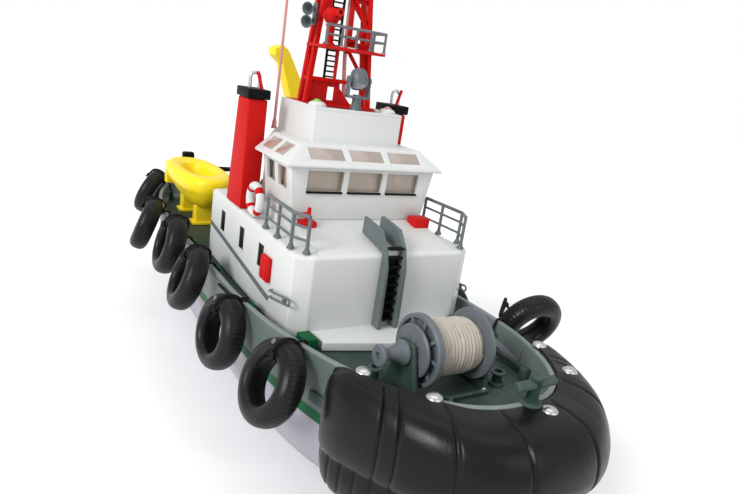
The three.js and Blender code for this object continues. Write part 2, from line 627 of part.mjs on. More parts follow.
// ---- Rescue boat on the aft deck ----------------------------------------------------------
function rescueBoat() {
  const [centreX, centreY] = [-166, -46];
  // A rounded outline: half-length, half-width and how far it is set forward.
  const plan = (half, width, shift = 0) => Array.from({ length: 20 }, (_, i) => {
    const angle = (2 * Math.PI * (i + 0.5)) / 20;
    const round = (value) => Math.sign(value) * Math.abs(value) ** 0.8;
    return [centreX + shift + round(Math.cos(angle)) * half, centreY + round(Math.sin(angle)) * width];
  });
  const body = stack([
    ring(plan(48, 4, 4), 92),
    ring(plan(51, 11, 2), 104),
    ring(plan(54, 17, 1), 114),
    ring(plan(56, 22), 120),
    ring(plan(59, 26), 124.5),
    ring(plan(59, 26), 131.5),
    ring(plan(56, 22.5), 136),
  ]);
  const well = stack([ring(plan(28, 11), 122), ring(plan(32, 14), 144)]);
  const cradle = [-26, 24].map((x) => block(centreX + x - 4, centreX + x + 4,
    centreY - 16, centreY + 16, DECK_Z + GAP, 106));
  return cut(join(body, ...cradle), well);
}
put('rescue_boat', rescueBoat(), YELLOW);

// ---- Winch and bitts ----------------------------------------------------------------------
const disc = (y0, y1, radius, sides = 20, endRadius = radius) =>
  bar([WINCH_X, y0, WINCH_Z], [WINCH_X, y1, WINCH_Z], radius, sides, endRadius);

function winchFrame() {
  const foot = DECK_Z + GAP;
  const cheek = [[WINCH_X - 16, foot], [WINCH_X + 16, foot], [WINCH_X + 6, WINCH_Z + 6],
    [WINCH_X - 6, WINCH_Z + 6]];
  const cheeks = [[-33.5, -31], [16.5, 19]].map(([y0, y1]) => plateXZ(cheek, y0, y1));
  const rails = [-14, 14].map((x) => block(WINCH_X + x - 2, WINCH_X + x + 2, -33.5, 19, foot, foot + 2.5));
  return cut(join(...cheeks, ...rails), disc(-40, 30, 3.4, 14));
}
put('winch_frame', winchFrame(), GREY);

function winchDrum() {
  return join(
    disc(-48, 21, 3, 14),
    disc(-29.6, -22, WINCH_FLANGE_RADIUS, 28),
    disc(11, 14, WINCH_FLANGE_RADIUS, 28),
    disc(-22.5, 11.5, 10, 16),
    disc(-36, -34.2, 10, 16),
    disc(-44, -36, 6, 14, 7.5),
    disc(-46, -44, 10, 16),
    disc(-51, -46, 5.5, 12, 5),
  );
}
put('winch_drum', winchDrum(), GREY);
put('winch_rope', cut(disc(-22 + GAP, 11 - GAP, 16, 24), disc(-30, 30, 10 + GAP, 16)), ROPE);

// Posts stand at postsY on a foot plate, with one bar through them all.
function bitt(x, postsY, [barFrom, barTo], [bottomZ, barZ, topZ]) {
  const posts = postsY.map((y) => bar([x, y, bottomZ], [x, y, topZ], 3, 10));
  const crossbar = bar([x, barFrom, barZ], [x, barTo, barZ], 2.6, 10);
  const reach = Math.max(...postsY) + 5;
  const foot = block(x - 6, x + 5, Math.min(...postsY) - 5, reach, bottomZ, bottomZ + 2);
  return join(...posts, crossbar, foot);
}
const STEM_TOP_Z = 107.7;
put('bow_bitt', bitt(248, [4], [-9.5, 17.5], [STEM_TOP_Z + GAP, 119, 124]), DECK_GREEN);
put('aft_bitt', bitt(-238, [-14.4, 14.4], [-24, 24], [DECK_Z + GAP, 121, 126]), BLACK);

// ---- Running gear inside the hull ---------------------------------------------------------
const FLOOR_Z = 3 + GAP;
for (const [side, sign] of bothSides) {
  const y = sign * SHAFT_Y;
  const can = bar([-126, y, SHAFT_Z], [-88, y, SHAFT_Z], 13, 16);
  const nose = bar([-129, y, SHAFT_Z], [-125, y, SHAFT_Z], 5, 12);
  const saddle = block(-116, -98, y - 9, y + 9, FLOOR_Z, 14);
  put(`motor_${side}`, join(can, nose, saddle), SILVER);
  const coupling = bar([-129 - GAP, y, SHAFT_Z], [-138, y, SHAFT_Z], 4, 10);
  const shaft = bar([-136, y, SHAFT_Z], [PROPELLER_X + 4 + GAP, y, SHAFT_Z], 2, 10);
  put(`shaft_${side}`, join(coupling, shaft), SILVER);

  const hub = bar([PROPELLER_X + 4, 0, 0], [PROPELLER_X - 7, 0, 0], 4, 10, 2.4);
  const blades = [0, 120, 240].map((turn) => {
    const tip = PROPELLER_RADIUS;
    const blade = plateXZ([[-1, 2], [1, 2], [1, 6], [0.8, tip], [-0.8, tip], [-1, 6]], -5, 5);
    return blade.rotate([0, 0, sign * 35]).translate([PROPELLER_X, 0, 0]).rotate([turn, 0, 0]);
  });
  put(`propeller_${side}`, join(hub, ...blades).translate([0, y, SHAFT_Z]), BRASS);
}
put('battery_pack', block(-30, 62, -23, 23, FLOOR_Z, 32), BATTERY_BLUE);

function receiverBoard() {
  const board = block(80, 128, -24, 24, 20, 21.8);
  const corners = [[84, -20], [84, 20], [124, -20], [124, 20]];
  const posts = corners.map(([x, y]) => bar([x, y, FLOOR_Z], [x, y, 20.5], 2, 6));
  const chips = [block(90, 104, -14, 0, 21, 25), block(108, 118, -2, 14, 21, 25)];
  return join(board, ...posts, ...chips);
}
put('receiver_board', receiverBoard(), BOARD_GREEN);

// ---- Tyres along both sides ---------------------------------------------------------------
function tyreProfile() {
  const half = TYRE_WIDTH / 2;
  const hole = TYRE_HOLE_RADIUS;
  const crown = TYRE_RADIUS;
  return [[hole, -half * 0.5], [hole + 4, -half], [crown - 5, -half], [crown, -half * 0.55],
    [crown, half * 0.55], [crown - 5, half], [hole + 4, half], [hole, half * 0.5],
    [hole, -half * 0.5]];
}

// How far the centre of a leaning tyre stands off the side of the hull.
function tyreReach(turn, lean) {
  const facing = Math.cos(turn) * Math.cos(lean);
  const tilt = Math.sqrt(1 - facing ** 2);
  const half = TYRE_WIDTH / 2;
  return Math.max(half * facing + (TYRE_RADIUS - 5) * tilt, half * 0.55 * facing + TYRE_RADIUS * tilt) + 0.8;
}

const { degToRad } = THREE.MathUtils;
for (const [side, sign] of bothSides) {
  TYRES.forEach(({ x, z, turn, lean }, i) => {
    const { y, yaw } = hullSide(x);
    const facing = yaw + degToRad(turn);
    const points = tyreProfile().map(([r, h]) => new THREE.Vector2(r, h));
    const tyre = new THREE.Mesh(new THREE.LatheGeometry(points, 16), RUBBER);
    tyre.name = `tyre_${side}_${i + 1}`;
    const out = tyreReach(degToRad(turn), degToRad(lean));
    tyre.rotation.set(sign * degToRad(lean), 0, -sign * facing, 'ZYX');
    tyre.position.set(x + Math.sin(yaw) * out, sign * (y + Math.cos(yaw) * out), z);
    if (side === 'port' && i === 0) {
      tyre.position.set(...TURNED_TYRE.centre);
      tyre.rotation.set(-degToRad(TURNED_TYRE.lean), 0, -degToRad(TURNED_TYRE.yaw), 'ZYX');
    }
    boat.add(tyre);
  });
}

export default boat;
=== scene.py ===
"""A radio-controlled harbour tug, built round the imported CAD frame. Lengths are in millimetres."""
import json
from math import atan, atan2, copysign, cos, exp, pi, radians, sin, sqrt

import bmesh
import bpy
from mathutils import Matrix, Vector


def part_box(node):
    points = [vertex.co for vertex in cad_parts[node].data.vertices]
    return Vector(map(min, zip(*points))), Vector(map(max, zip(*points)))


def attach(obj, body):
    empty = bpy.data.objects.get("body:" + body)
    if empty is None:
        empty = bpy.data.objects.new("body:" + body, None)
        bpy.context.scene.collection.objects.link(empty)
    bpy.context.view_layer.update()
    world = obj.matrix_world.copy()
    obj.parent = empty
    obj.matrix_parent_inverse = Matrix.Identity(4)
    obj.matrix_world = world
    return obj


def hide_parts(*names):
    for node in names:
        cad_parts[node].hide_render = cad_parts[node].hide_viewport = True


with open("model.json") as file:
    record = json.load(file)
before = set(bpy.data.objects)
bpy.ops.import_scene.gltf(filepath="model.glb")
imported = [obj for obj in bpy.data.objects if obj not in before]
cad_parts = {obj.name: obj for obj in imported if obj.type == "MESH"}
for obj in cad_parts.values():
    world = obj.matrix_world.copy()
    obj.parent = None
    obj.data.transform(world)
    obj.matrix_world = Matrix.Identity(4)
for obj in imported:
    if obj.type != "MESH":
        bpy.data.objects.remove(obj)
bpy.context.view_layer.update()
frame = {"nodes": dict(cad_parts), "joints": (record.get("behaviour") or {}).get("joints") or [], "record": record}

MM = 0.001
SIDES = (("port", 1), ("starboard", -1))
UP = Vector((0, 0, 1))
CLOSE = 0.02            # radius at which a turned profile ends on its axis

# ---- Camera and light ----
LENS, SENSOR = 29.328, 36
CAMERA_PLACE = (0.4224, -0.2189, 0.2541)
CAMERA_AXES = ((0.50744, 0.84933, 0.14539), (-0.3161, 0.02652, 0.94836), (0.80161, -0.52719, 0.28193))
WORLD_LIGHT = 0.74

scene = bpy.context.scene
camera_data = bpy.data.cameras.new("camera")
camera_data.lens = LENS
camera_data.sensor_width = SENSOR
camera_data.clip_start = 0.01
camera = bpy.data.objects.new("camera", camera_data)
turn = Matrix([Vector(a).normalized() for a in CAMERA_AXES]).transposed().to_4x4()
camera.matrix_world = Matrix.Translation(CAMERA_PLACE) @ turn
scene.collection.objects.link(camera)
scene.camera = camera
scene.view_settings.view_transform = "Standard"

world = bpy.data.worlds.new("studio")
scene.world = world
world.use_nodes = True
wn = world.node_tree
wn.nodes.clear()
w_out = wn.nodes.new("ShaderNodeOutputWorld")
w_mix = wn.nodes.new("ShaderNodeMixShader")
w_path = wn.nodes.new("ShaderNodeLightPath")
w_seen, w_lit = (wn.nodes.new("ShaderNodeBackground") for _ in range(2))
for background, colour, strength in ((w_seen, (1, 1, 1, 1), 1.0), (w_lit, (0.97, 0.98, 1, 1), WORLD_LIGHT)):
    background.inputs["Color"].default_value = colour
    background.inputs["Strength"].default_value = strength
wn.links.new(w_path.outputs["Is Camera Ray"], w_mix.inputs[0])
wn.links.new(w_lit.outputs[0], w_mix.inputs[1])
wn.links.new(w_seen.outputs[0], w_mix.inputs[2])
wn.links.new(w_mix.outputs[0], w_out.inputs[0])


def area_light(name, place, target, size, watts):
    data = bpy.data.lights.new(name, "AREA")
    data.shape = "RECTANGLE"
    data.size, data.size_y = size
    data.energy = watts
    lamp = bpy.data.objects.new(name, data)
    lamp.location = place
    lamp.rotation_euler = (Vector(target) - Vector(place)).to_track_quat("-Z", "Y").to_euler()
    scene.collection.objects.link(lamp)


def sun(name, towards, strength, spread):
    data = bpy.data.lights.new(name, "SUN")
    data.energy = strength
    data.angle = radians(spread)
    lamp = bpy.data.objects.new(name, data)
    lamp.rotation_euler = Vector(towards).to_track_quat("Z", "Y").to_euler()
    scene.collection.objects.link(lamp)


sun("key", (0.30, -1.0, 0.62), 2.0, 20)
area_light("front", (1.5, 0.35, 0.9), (0.1, 0, 0.12), (0.9, 0.9), 3)
area_light("top", (-0.1, 0.1, 1.7), (0, 0, 0.1), (1.6, 0.8), 4)


# ---- Materials ----
def shade(colour, by):
    return tuple(min(1.0, max(0.0, c * by)) for c in colour[:3]) + (1,)


def material(name, colour, rough=0.4, metal=0.0, vary=0.06, patch=28, grain=1400, bump=0.12, depth=0.12,
             wear=0.0, coat=0.0, sheen=0.0, alpha=None, transmission=0.0, stretch=None, specular=0.5):
    """Moulded plastic, rubber or metal: patches of tone, grain in the surface, rubbed edges."""
    mat = bpy.data.materials.new(name)
    mat.use_nodes = True
    tree = mat.node_tree
    shader = tree.nodes["Principled BSDF"]
    link = tree.links.new

    def node(kind, **values):
        made = tree.nodes.new(kind)
        for key, value in values.items():
            made.inputs[key.replace("_", " ")].default_value = value
        return made

    place = tree.nodes.new("ShaderNodeTexCoord").outputs["Object"]
    if stretch:
        mapping = node("ShaderNodeMapping", Scale=stretch)
        link(place, mapping.inputs["Vector"])
        place = mapping.outputs["Vector"]

    def noise(**values):
        made = node("ShaderNodeTexNoise", **values)
        link(place, made.inputs["Vector"])
        return made.outputs["Fac"]

    def ramp(source, start, end):
        made = tree.nodes.new("ShaderNodeValToRGB")
        made.color_ramp.elements[0].position = start
        made.color_ramp.elements[1].position = end
        link(source, made.inputs["Fac"])
        return made

    patches = noise(Scale=patch, Detail=5.0, Roughness=0.6)
    tones = ramp(patches, 0.3, 0.72)
    tones.color_ramp.elements[0].color = shade(colour, 1 - vary)
    tones.color_ramp.elements[1].color = shade(colour, 1 + vary)
    base = tones.outputs["Color"]
    if wear:
        edge = ramp(tree.nodes.new("ShaderNodeNewGeometry").outputs["Pointiness"], 0.51, 0.6)
        amount = tree.nodes.new("ShaderNodeMath")
        amount.operation = "MULTIPLY"
        link(edge.outputs["Color"], amount.inputs[0])
        link(noise(Scale=160.0, Detail=4.0), amount.inputs[1])
        blend = tree.nodes.new("ShaderNodeMix")
        blend.data_type = "RGBA"
        link(amount.outputs[0], blend.inputs["Factor"])
        link(base, blend.inputs["A"])
        blend.inputs["B"].default_value = shade([c + (0.75 - c) * wear for c in colour], 1)
        base = blend.outputs["Result"]
    link(base, shader.inputs["Base Color"])
    ranges = node("ShaderNodeMapRange", From_Min=0.3, From_Max=0.7, To_Min=max(0.03, rough - 0.07),
                  To_Max=min(1, rough + 0.08))
    link(patches, ranges.inputs["Value"])
    link(ranges.outputs["Result"], shader.inputs["Roughness"])
    relief = node("ShaderNodeBump", Strength=bump, Distance=depth * MM)
    link(noise(Scale=grain, Detail=3.0, Roughness=0.55), relief.inputs["Height"])
    link(relief.outputs["Normal"], shader.inputs["Normal"])
    uniform = {"Metallic": metal, "Specular IOR Level": specular}
    if coat:
        uniform.update({"Coat Weight": coat, "Coat Roughness": 0.12})
    if sheen:
        uniform.update({"Sheen Weight": sheen, "Sheen Roughness": 0.5})
    if alpha is not None:
        uniform["Alpha"] = alpha
    if transmission:
        uniform.update({"Transmission Weight": transmission, "IOR": 1.46})
    for socket, value in uniform.items():
        shader.inputs[socket].default_value = value
    return mat


M = {
    "white": material("moulded_white", (0.63, 0.645, 0.625), 0.36, vary=0.025, wear=0.1, specular=0.35,
                      bump=0.07),
    "cream": material("cabin_lining", (0.78, 0.62, 0.53), 0.5, vary=0.05),
    "hull": material("hull_grey_green", (0.105, 0.138, 0.13), 0.33, vary=0.07, wear=0.1, specular=0.3),
    # The lower hull's own pale paint, with a lavender tint in its colour that is a painted reflection.
    "keel": material("hull_lower_paint_painted_reflection", (0.31, 0.295, 0.34), 0.34, vary=0.05, wear=0.05, specular=0.3),
    "stripe": material("hull_stripe", (0.004, 0.095, 0.032), 0.4, vary=0.1, specular=0.1),
    "fitting": material("lashing_eye", (0.16, 0.15, 0.15), 0.3, metal=0.6, vary=0.1),
    "rail": material("bulwark_rail", (0.17, 0.21, 0.20), 0.38, vary=0.06, wear=0.15, specular=0.3),
    "inside": material("bulwark_inside", (0.15, 0.185, 0.175), 0.42, vary=0.08, wear=0.1, specular=0.3),
    "deck": material("deck_dark_green", (0.016, 0.042, 0.032), 0.5, vary=0.12, wear=0.15, grain=700,
                     bump=0.3, depth=0.25, specular=0.2),
    "red": material("moulded_red", (0.52, 0.006, 0.005), 0.45, vary=0.04, wear=0.03, specular=0.04),
    "black": material("moulded_black", (0.004, 0.0038, 0.0038), 0.42, vary=0.15, wear=0.015, specular=0.06),
    "fender": material("fender_vinyl", (0.0055, 0.0055, 0.006), 0.34, vary=0.12, grain=520, bump=0.28,
                       depth=0.3, wear=0.015, specular=0.2),
    "piping": material("fender_piping", (0.10, 0.10, 0.105), 0.38, vary=0.1),
    "tyre": material("tyre_rubber", (0.007, 0.007, 0.0075), 0.34, vary=0.14, grain=1500, bump=0.1,
                     wear=0.05, specular=0.2),
    "grey": material("fitting_grey", (0.10, 0.118, 0.128), 0.38, vary=0.07, wear=0.1, specular=0.3),
    "cheek": material("ladder_grey", (0.105, 0.13, 0.13), 0.36, vary=0.06, wear=0.1, specular=0.3),
    "yellow": material("moulded_yellow", (0.93, 0.70, 0.012), 0.36, vary=0.03, wear=0.03, specular=0.25),
    "rope": material("rope_cream", (0.44, 0.39, 0.33), 0.85, vary=0.09, patch=130, grain=3000, bump=0.5,
                     depth=0.3, sheen=0.3),
    "lashing": material("lashing_black", (0.012, 0.012, 0.012), 0.75, vary=0.2, patch=200, grain=2600,
                        bump=0.5, depth=0.25, specular=0.15),
    "silver": material("silver_metal", (0.62, 0.62, 0.63), 0.28, metal=1.0, vary=0.05, grain=2600,
                       bump=0.06),
    "steel": material("turned_steel", (0.48, 0.48, 0.49), 0.3, metal=1.0, vary=0.05, stretch=(1, 12, 12),
                      bump=0.1),
    "brass": material("polished_brass", (0.62, 0.43, 0.16), 0.25, metal=1.0, vary=0.08, bump=0.06),
    "green_lens": material("green_lens", (0.20, 0.72, 0.10), 0.14, vary=0.04, coat=0.5, transmission=0.35),
    "red_lens": material("red_lens", (0.85, 0.16, 0.2), 0.18, vary=0.04, coat=0.4, transmission=0.3),
    "hose": material("hose_pink", (0.72, 0.30, 0.30), 0.32, vary=0.08, coat=0.3, transmission=0.25),
    "glass": material("window_tint", (0.66, 0.56, 0.47), 0.07, vary=0.05, patch=40, bump=0.02, alpha=0.55,
                      coat=0.4),
    "pane": material("roof_pane", (0.36, 0.295, 0.255), 0.1, vary=0.04, patch=30, bump=0.03, coat=0.5),
    "port_lens": material("port_lens", (0.85, 0.36, 0.38), 0.2, vary=0.04, coat=0.4, transmission=0.45),
    "dark_glass": material("window_dark", (0.006, 0.006, 0.007), 0.35, vary=0.2, bump=0.03, specular=0.08),
    "board": material("circuit_board", (0.01, 0.13, 0.045), 0.3, vary=0.15, patch=220, coat=0.4),
    "battery": material("battery_wrap", (0.03, 0.08, 0.32), 0.35, vary=0.08, patch=60, coat=0.3),
    "lamp_face": material("lamp_lens", (0.42, 0.44, 0.45), 0.12, vary=0.05, coat=0.8),
}


# ---- Shapes ----
EDGE_ANGLE, NODE_EDGE_ANGLE = radians(15), radians(24)     # edges that turn by more than this are rounded
SHARP = 38              # degrees: edges that turn by more than this are shaded sharp
BOX_FACES = [(0, 1, 3, 2), (4, 6, 7, 5), (0, 4, 5, 1), (2, 3, 7, 6), (0, 2, 6, 4), (1, 5, 7, 3)]
WEDGE_FACES = [(0, 1, 2), (5, 4, 3), (0, 3, 4, 1), (1, 4, 5, 2), (2, 5, 3, 0)]


def circle(count):
    """Evenly spaced angles once round."""
    return [2 * pi * k / count for k in range(count)]


def prism_faces(n):
    """Faces of a solid whose two ends are outlines of n points."""
    ends = [tuple(range(n)), tuple(range(2 * n - 1, n - 1, -1))]
    return ends + [(i, (i + 1) % n, n + (i + 1) % n, n + i) for i in range(n)]


def placed(origin, along, away):
    """A matrix for a fitting that stands at origin, with x along the hull's side and y away from it."""
    return Matrix.Translation(origin) @ Matrix((along, away, UP)).transposed().to_4x4()


class Shape:
    """Points in millimetres and faces, each face with the number of its material."""

    def __init__(self):
        self.points, self.faces, self.kinds = [], [], []

    def add(self, points, faces, kind=0):
        base = len(self.points)
        self.points += [Vector(p) for p in points]
        self.faces += [tuple(base + i for i in face) for face in faces]
        self.kinds += [kind] * len(faces)
        return self

    def rows(self, rows, loop=False, caps=True, kind=0, kinds=None):
        """Faces between rings of points. A loop's last ring meets its first."""
        width = len(rows[0])
        base = len(self.points)
        self.points += [Vector(p) for row in rows for p in row]
        for r in range(len(rows) if loop else len(rows) - 1):
            s = (r + 1) % len(rows)
            for c in range(width):
                d = (c + 1) % width
                self.faces.append((base + r * width + c, base + r * width + d, base + s * width + d,
                                   base + s * width + c))
                self.kinds.append(kinds(r, c) if kinds else kind)
        if caps and not loop:
            last = base + (len(rows) - 1) * width
            self.faces += [tuple(range(base, base + width)), tuple(reversed(range(last, last + width)))]
            self.kinds += [kinds(0, 0) if kinds else kind, kinds(len(rows) - 2, 0) if kinds else kind]
        return self

    def tube(self, path, radius, sides=12, loop=False, section=None):
        """A round bar along a path; radius is one number or one for each point."""
        path = [Vector(p) for p in path]
        count = len(path)
        radii = radius if isinstance(radius, (list, tuple)) else [radius] * count
        normal = None
        rows = []
        for i, point in enumerate(path):
            before = path[i - 1] if i or loop else point
            after = path[(i + 1) % count] if i + 1 < count or loop else point
            run = (after - before).normalized()
            if normal is None:
                normal = run.orthogonal().normalized()
            normal = (normal - run * normal.dot(run)).normalized()
            side = run.cross(normal)
            ring = []
            for angle in circle(sides):
                r = radii[i] * (section(i, angle) if section else 1)
                ring.append(point + normal * (r * cos(angle)) + side * (r * sin(angle)))
            rows.append(ring)
        return self.rows(rows, loop=loop)

    def turned(self, profile, place, axis=UP, steps=32, kind=0, kinds=None, shape=None, closed=False,
               ends=True):
        """A profile of (radius, height) pairs turned about an axis. With ends, it is closed on the axis."""
        axis = Vector(axis).normalized()
        side = axis.orthogonal().normalized()
        other = axis.cross(side)
        place = Vector(place)
        if ends and not closed:
            if profile[0][0] > CLOSE:
                profile = [(CLOSE, profile[0][1])] + profile
            if profile[-1][0] > CLOSE:
                profile = profile + [(CLOSE, profile[-1][1])]
        rows = []
        for i, (radius, height) in enumerate(profile):
            ring = []
            for k, angle in enumerate(circle(steps)):
                r = radius * (shape(i, k) if shape else 1)
                ring.append(place + axis * height + side * (r * cos(angle)) + other * (r * sin(angle)))
            rows.append(ring)
        return self.rows(rows, loop=closed, caps=not closed, kind=kind, kinds=kinds)

    def bevelled(self, points, faces, width, kind=0, segments=2):
        """A solid with its edges rounded."""
        bm = bmesh.new()
        corners = [bm.verts.new(p) for p in points]
        for face in faces:
            bm.faces.new([corners[i] for i in face])
        bmesh.ops.recalc_face_normals(bm, faces=bm.faces)
        edges = [e for e in bm.edges if e.is_manifold and abs(e.calc_face_angle()) > EDGE_ANGLE]
        bmesh.ops.bevel(bm, geom=edges, offset=width, offset_type="OFFSET", segments=segments, profile=0.55,
                        affect="EDGES", clamp_overlap=True)
        bm.verts.index_update()
        self.add([v.co.copy() for v in bm.verts], [[v.index for v in f.verts] for f in bm.faces], kind)
        bm.free()
        return self

    def block(self, x0, x1, y0, y1, z0, z1, width=0.5, kind=0, segments=2, move=None):
        """A box with rounded edges, between two values on each axis."""
        points = [Vector((x, y, z)) for x in (x0, x1) for y in (y0, y1) for z in (z0, z1)]
        if move:
            points = [move @ p for p in points]
        return self.bevelled(points, BOX_FACES, width, kind, segments)

    def prism(self, outline, start, end, width=0.4, kind=0, plane="xz"):
        """An outline in one plane, pushed out between two heights across it."""
        def at(pair, height):
            a, b = pair
            return {"xz": (a, height, b), "xy": (a, b, height), "yz": (height, a, b)}[plane]
        points = [at(p, start) for p in outline] + [at(p, end) for p in outline]
        return self.bevelled(points, prism_faces(len(outline)), width, kind)


def make(name, shape, finishes, hides=(), body="boat", angle=SHARP):
    """Turns a shape into an object that rides on a body."""
    mesh = bpy.data.meshes.new(name)
    mesh.from_pydata([p * MM for p in shape.points], [], shape.faces)
    for finish in finishes:
        mesh.materials.append(M[finish])
    mesh.polygons.foreach_set("material_index", shape.kinds)
    bm = bmesh.new()
    bm.from_mesh(mesh)
    bmesh.ops.remove_doubles(bm, verts=bm.verts, dist=2e-6)
    bmesh.ops.dissolve_degenerate(bm, edges=bm.edges, dist=1e-6)
    bmesh.ops.recalc_face_normals(bm, faces=bm.faces)
    bm.to_mesh(mesh)
    bm.free()
    return place_mesh(name, mesh, body, hides, angle)


def place_mesh(name, mesh, body, hides, angle):
    mesh.polygons.foreach_set("use_smooth", [True] * len(mesh.polygons))
    mesh.set_sharp_from_angle(angle=radians(angle))
    obj = bpy.data.objects.new(name, mesh)
    scene.collection.objects.link(obj)
    if hides:
        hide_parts(*hides)
    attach(obj, body)
    return obj


BODY_OF = {n: b for b, members in frame["record"]["behaviour"]["bodies"].items() for n in members}


def refine(node, finish, width=0.5, segments=2):
    """The CAD node's own shape, with its edges rounded as moulded plastic has them."""
    mesh = frame["nodes"][node].data.copy()
    mesh.name = node + "_skin"
    bm = bmesh.new()
    bm.from_mesh(mesh)
    bmesh.ops.remove_doubles(bm, verts=bm.verts, dist=1e-5)
    bmesh.ops.dissolve_limit(bm, angle_limit=radians(1.5), verts=bm.verts, edges=bm.edges)
    edges = [e for e in bm.edges if e.is_manifold and abs(e.calc_face_angle()) > NODE_EDGE_ANGLE]
    bmesh.ops.bevel(bm, geom=edges, offset=width * MM, offset_type="OFFSET", segments=segments, profile=0.55,
                    affect="EDGES", clamp_overlap=True)
    bm.to_mesh(mesh)
    bm.free()
    mesh.materials.clear()
    mesh.materials.append(M[finish])
    return place_mesh(node + "_skin", mesh, BODY_OF[node], (node,), SHARP)


def smooth_path(points, per=6):
    """A Catmull-Rom curve through the points, with a number of steps between each two."""
    points = [Vector(p) for p in points]
    out = []
    for i, (b, c) in enumerate(zip(points, points[1:])):
        a, d = points[max(i - 1, 0)], points[min(i + 2, len(points) - 1)]
        for k in range(per):
            t = k / per
            out.append(0.5 * ((2 * b) + (c - a) * t + (2 * a - 5 * b + 4 * c - d) * t ** 2
                              + (3 * b - a - 3 * c + d) * t ** 3))
    return out + [points[-1]]


def low(node):
    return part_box(node)[0] / MM


def high(node):
    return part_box(node)[1] / MM


# ---- Hull ----
DECK_Z = high("main_deck").z
# Height, half-beam, bow and stern.
WATERLINES = ((0, 38, 138, -138), (4, 51, 165, -146), (14, 65, 196, -164), (30, 74.5, 219, -192),
              (50, 80, 237, -228), (62, 82, 243, -249), (102, 83, 248, -264))
BOW_SHOULDER, STERN_SHOULDER = 50, -100
BOW_FULL, STERN_FULL = 2.35, 2.8
WALL = 2.5
TOP_LEVEL = 102         # the highest waterline


def waterline(z):
    """Half-beam, bow and stern of the hull at a height."""
    z = min(max(z, 0), TOP_LEVEL)
    for a, b in zip(WATERLINES, WATERLINES[1:]):
        if z <= b[0]:
            share = (z - a[0]) / (b[0] - a[0])
            return [a[i] + share * (b[i] - a[i]) for i in (1, 2, 3)]


def power(value, exponent):
    return copysign(abs(value) ** exponent, value)


OUTLINE_STEPS = 36


def outline(z, inset=0.0):
    """The hull's plan at a height, from the starboard shoulder round the bow to port and the stern."""
    beam, bow, stern = waterline(z)
    ring = []
    for centre, length, full, start in ((BOW_SHOULDER, bow - inset - BOW_SHOULDER, BOW_FULL, -pi / 2),
                                        (STERN_SHOULDER, STERN_SHOULDER - stern - inset, STERN_FULL,
                                         pi / 2)):
        for i in range(OUTLINE_STEPS + 1):
            angle = start + pi * i / OUTLINE_STEPS
            ring.append(Vector((centre + power(cos(angle), 2 / full) * length,
                                power(sin(angle), 2 / full) * (beam - inset), z)))
    return ring


def sheer(x):
    """Height of the bulwark's top edge."""
    return 95.5 + 12.5 * max(0, (x - 60) / 192) + 9 * max(0, (-100 - x) / 164) ** 2


def hull_side(x):
    """Half-beam at x, and the outward normal's angle in plan from straight out."""
    beam, bow, stern = waterline(TOP_LEVEL)
    centre, length, full = (BOW_SHOULDER, bow - BOW_SHOULDER, BOW_FULL) if x > 0 else (
        STERN_SHOULDER, STERN_SHOULDER - stern, STERN_FULL)
    share = max(0, (x - centre) if x > 0 else (centre - x)) / length
    y = beam * (1 - share ** full) ** (1 / full)
    slope = (share ** (full - 1) / length) / ((y / beam) ** (full - 1) / beam)
    return y, atan(slope) * (1 if x > 0 else -1)


def level(share, from_z, inset):
    """A ring part of the way from a height up to the sheer."""
    return [Vector((p.x, p.y, from_z + share * (sheer(p.x) - from_z))) for p in outline(TOP_LEVEL, inset)]


hull = Shape()
side_heights = [1.2, 4, 9, 14, 22, 30, 40, 50, 56, 62, 65.5, 69, 76, 83, 90]
outside = [outline(0, 2.5)] + [outline(z) for z in side_heights]
outside += [level(s, 90, 0) for s in (0.35, 0.7)]
outside += [level(1, 90, 0.3), level(1.0, 90, 0.9)]
heights = [0] + side_heights + [95, 99, 100]
STRIPE_FROM, STRIPE_TO = 62, 69
inside = [level(1, 90, WALL - 0.4), level(0.9, 90, WALL), level(0.4, 90, WALL), outline(90, WALL),
          outline(DECK_Z - 2.1, WALL), outline(DECK_Z - 2.3, WALL + 1.5)]
inside += [outline(z, WALL + 1.5) for z in (62, 50, 30, 14)]
bottom_inside = [Vector((p.x, p.y, 3)) for p in outline(5, WALL + 1.5)]
rings = outside + inside + [bottom_inside]


def hull_kind(r, c):
    if r < len(outside) - 1:
        return 1 if heights[r] < STRIPE_FROM else 2 if heights[r] < STRIPE_TO else 0
    return 3 if r < len(outside) + 3 else 4


hull.rows(rings, kinds=hull_kind)
hull.prism([(-120, 3), (-120, 2), (-214, 2), (-228, 40), (-228, 58), (-205, 60), (-150, 30), (-120, 12)],
           -2.5, 2.5, 1.0, kind=1)
for _, side in SIDES:
    hull.turned([(2.4, 0), (4.2, 0), (4.2, 38), (3.8, 42), (2.4, 42)], (-158, 28 * side, 20), (-1, 0, 0), 24,
                kind=1, closed=True)
make("hull_shell", hull, ["hull", "keel", "stripe", "inside", "keel"], ["hull"],
     angle=32)

# The rail along the top of the bulwark.
RAIL_SECTION = ((0.15, -0.8), (0.3, 0.0), (0.0, 0.45), (-2.6, 0.45), (-2.9, 0.0), (-2.9, -0.8))
rail = Shape()
rail.rows([[p + UP * rise for p in level(1, 90, -inset)] for inset, rise in RAIL_SECTION],
          loop=True, caps=False)
make("bulwark_cap", rail, ["rail"])

# Stanchions along the inside of the bulwark.
stays = Shape()
for _, side in SIDES:
    for x in (-225, -190, -150, -110, -60, -15, 30, 75, 110, 150, 185, 212):
        y, yaw = hull_side(x)
        away = Vector((sin(yaw), side * cos(yaw), 0))
        along = Vector((away.y, -away.x, 0))
        root = Vector((x, side * y, 0)) - away * (WALL + 0.2)
        top = sheer(x) - 2.2
        corners = [root + along * s + away * d + UP * z
                   for s in (-0.7, 0.7) for d, z in ((0.4, DECK_Z + 0.4), (-2.6, DECK_Z + 0.4), (0.4, top))]
        stays.bevelled(corners, WEDGE_FACES, 0.25)
make("bulwark_stays", stays, ["inside"])

# ---- Bow fender ----
FENDER_X = 120


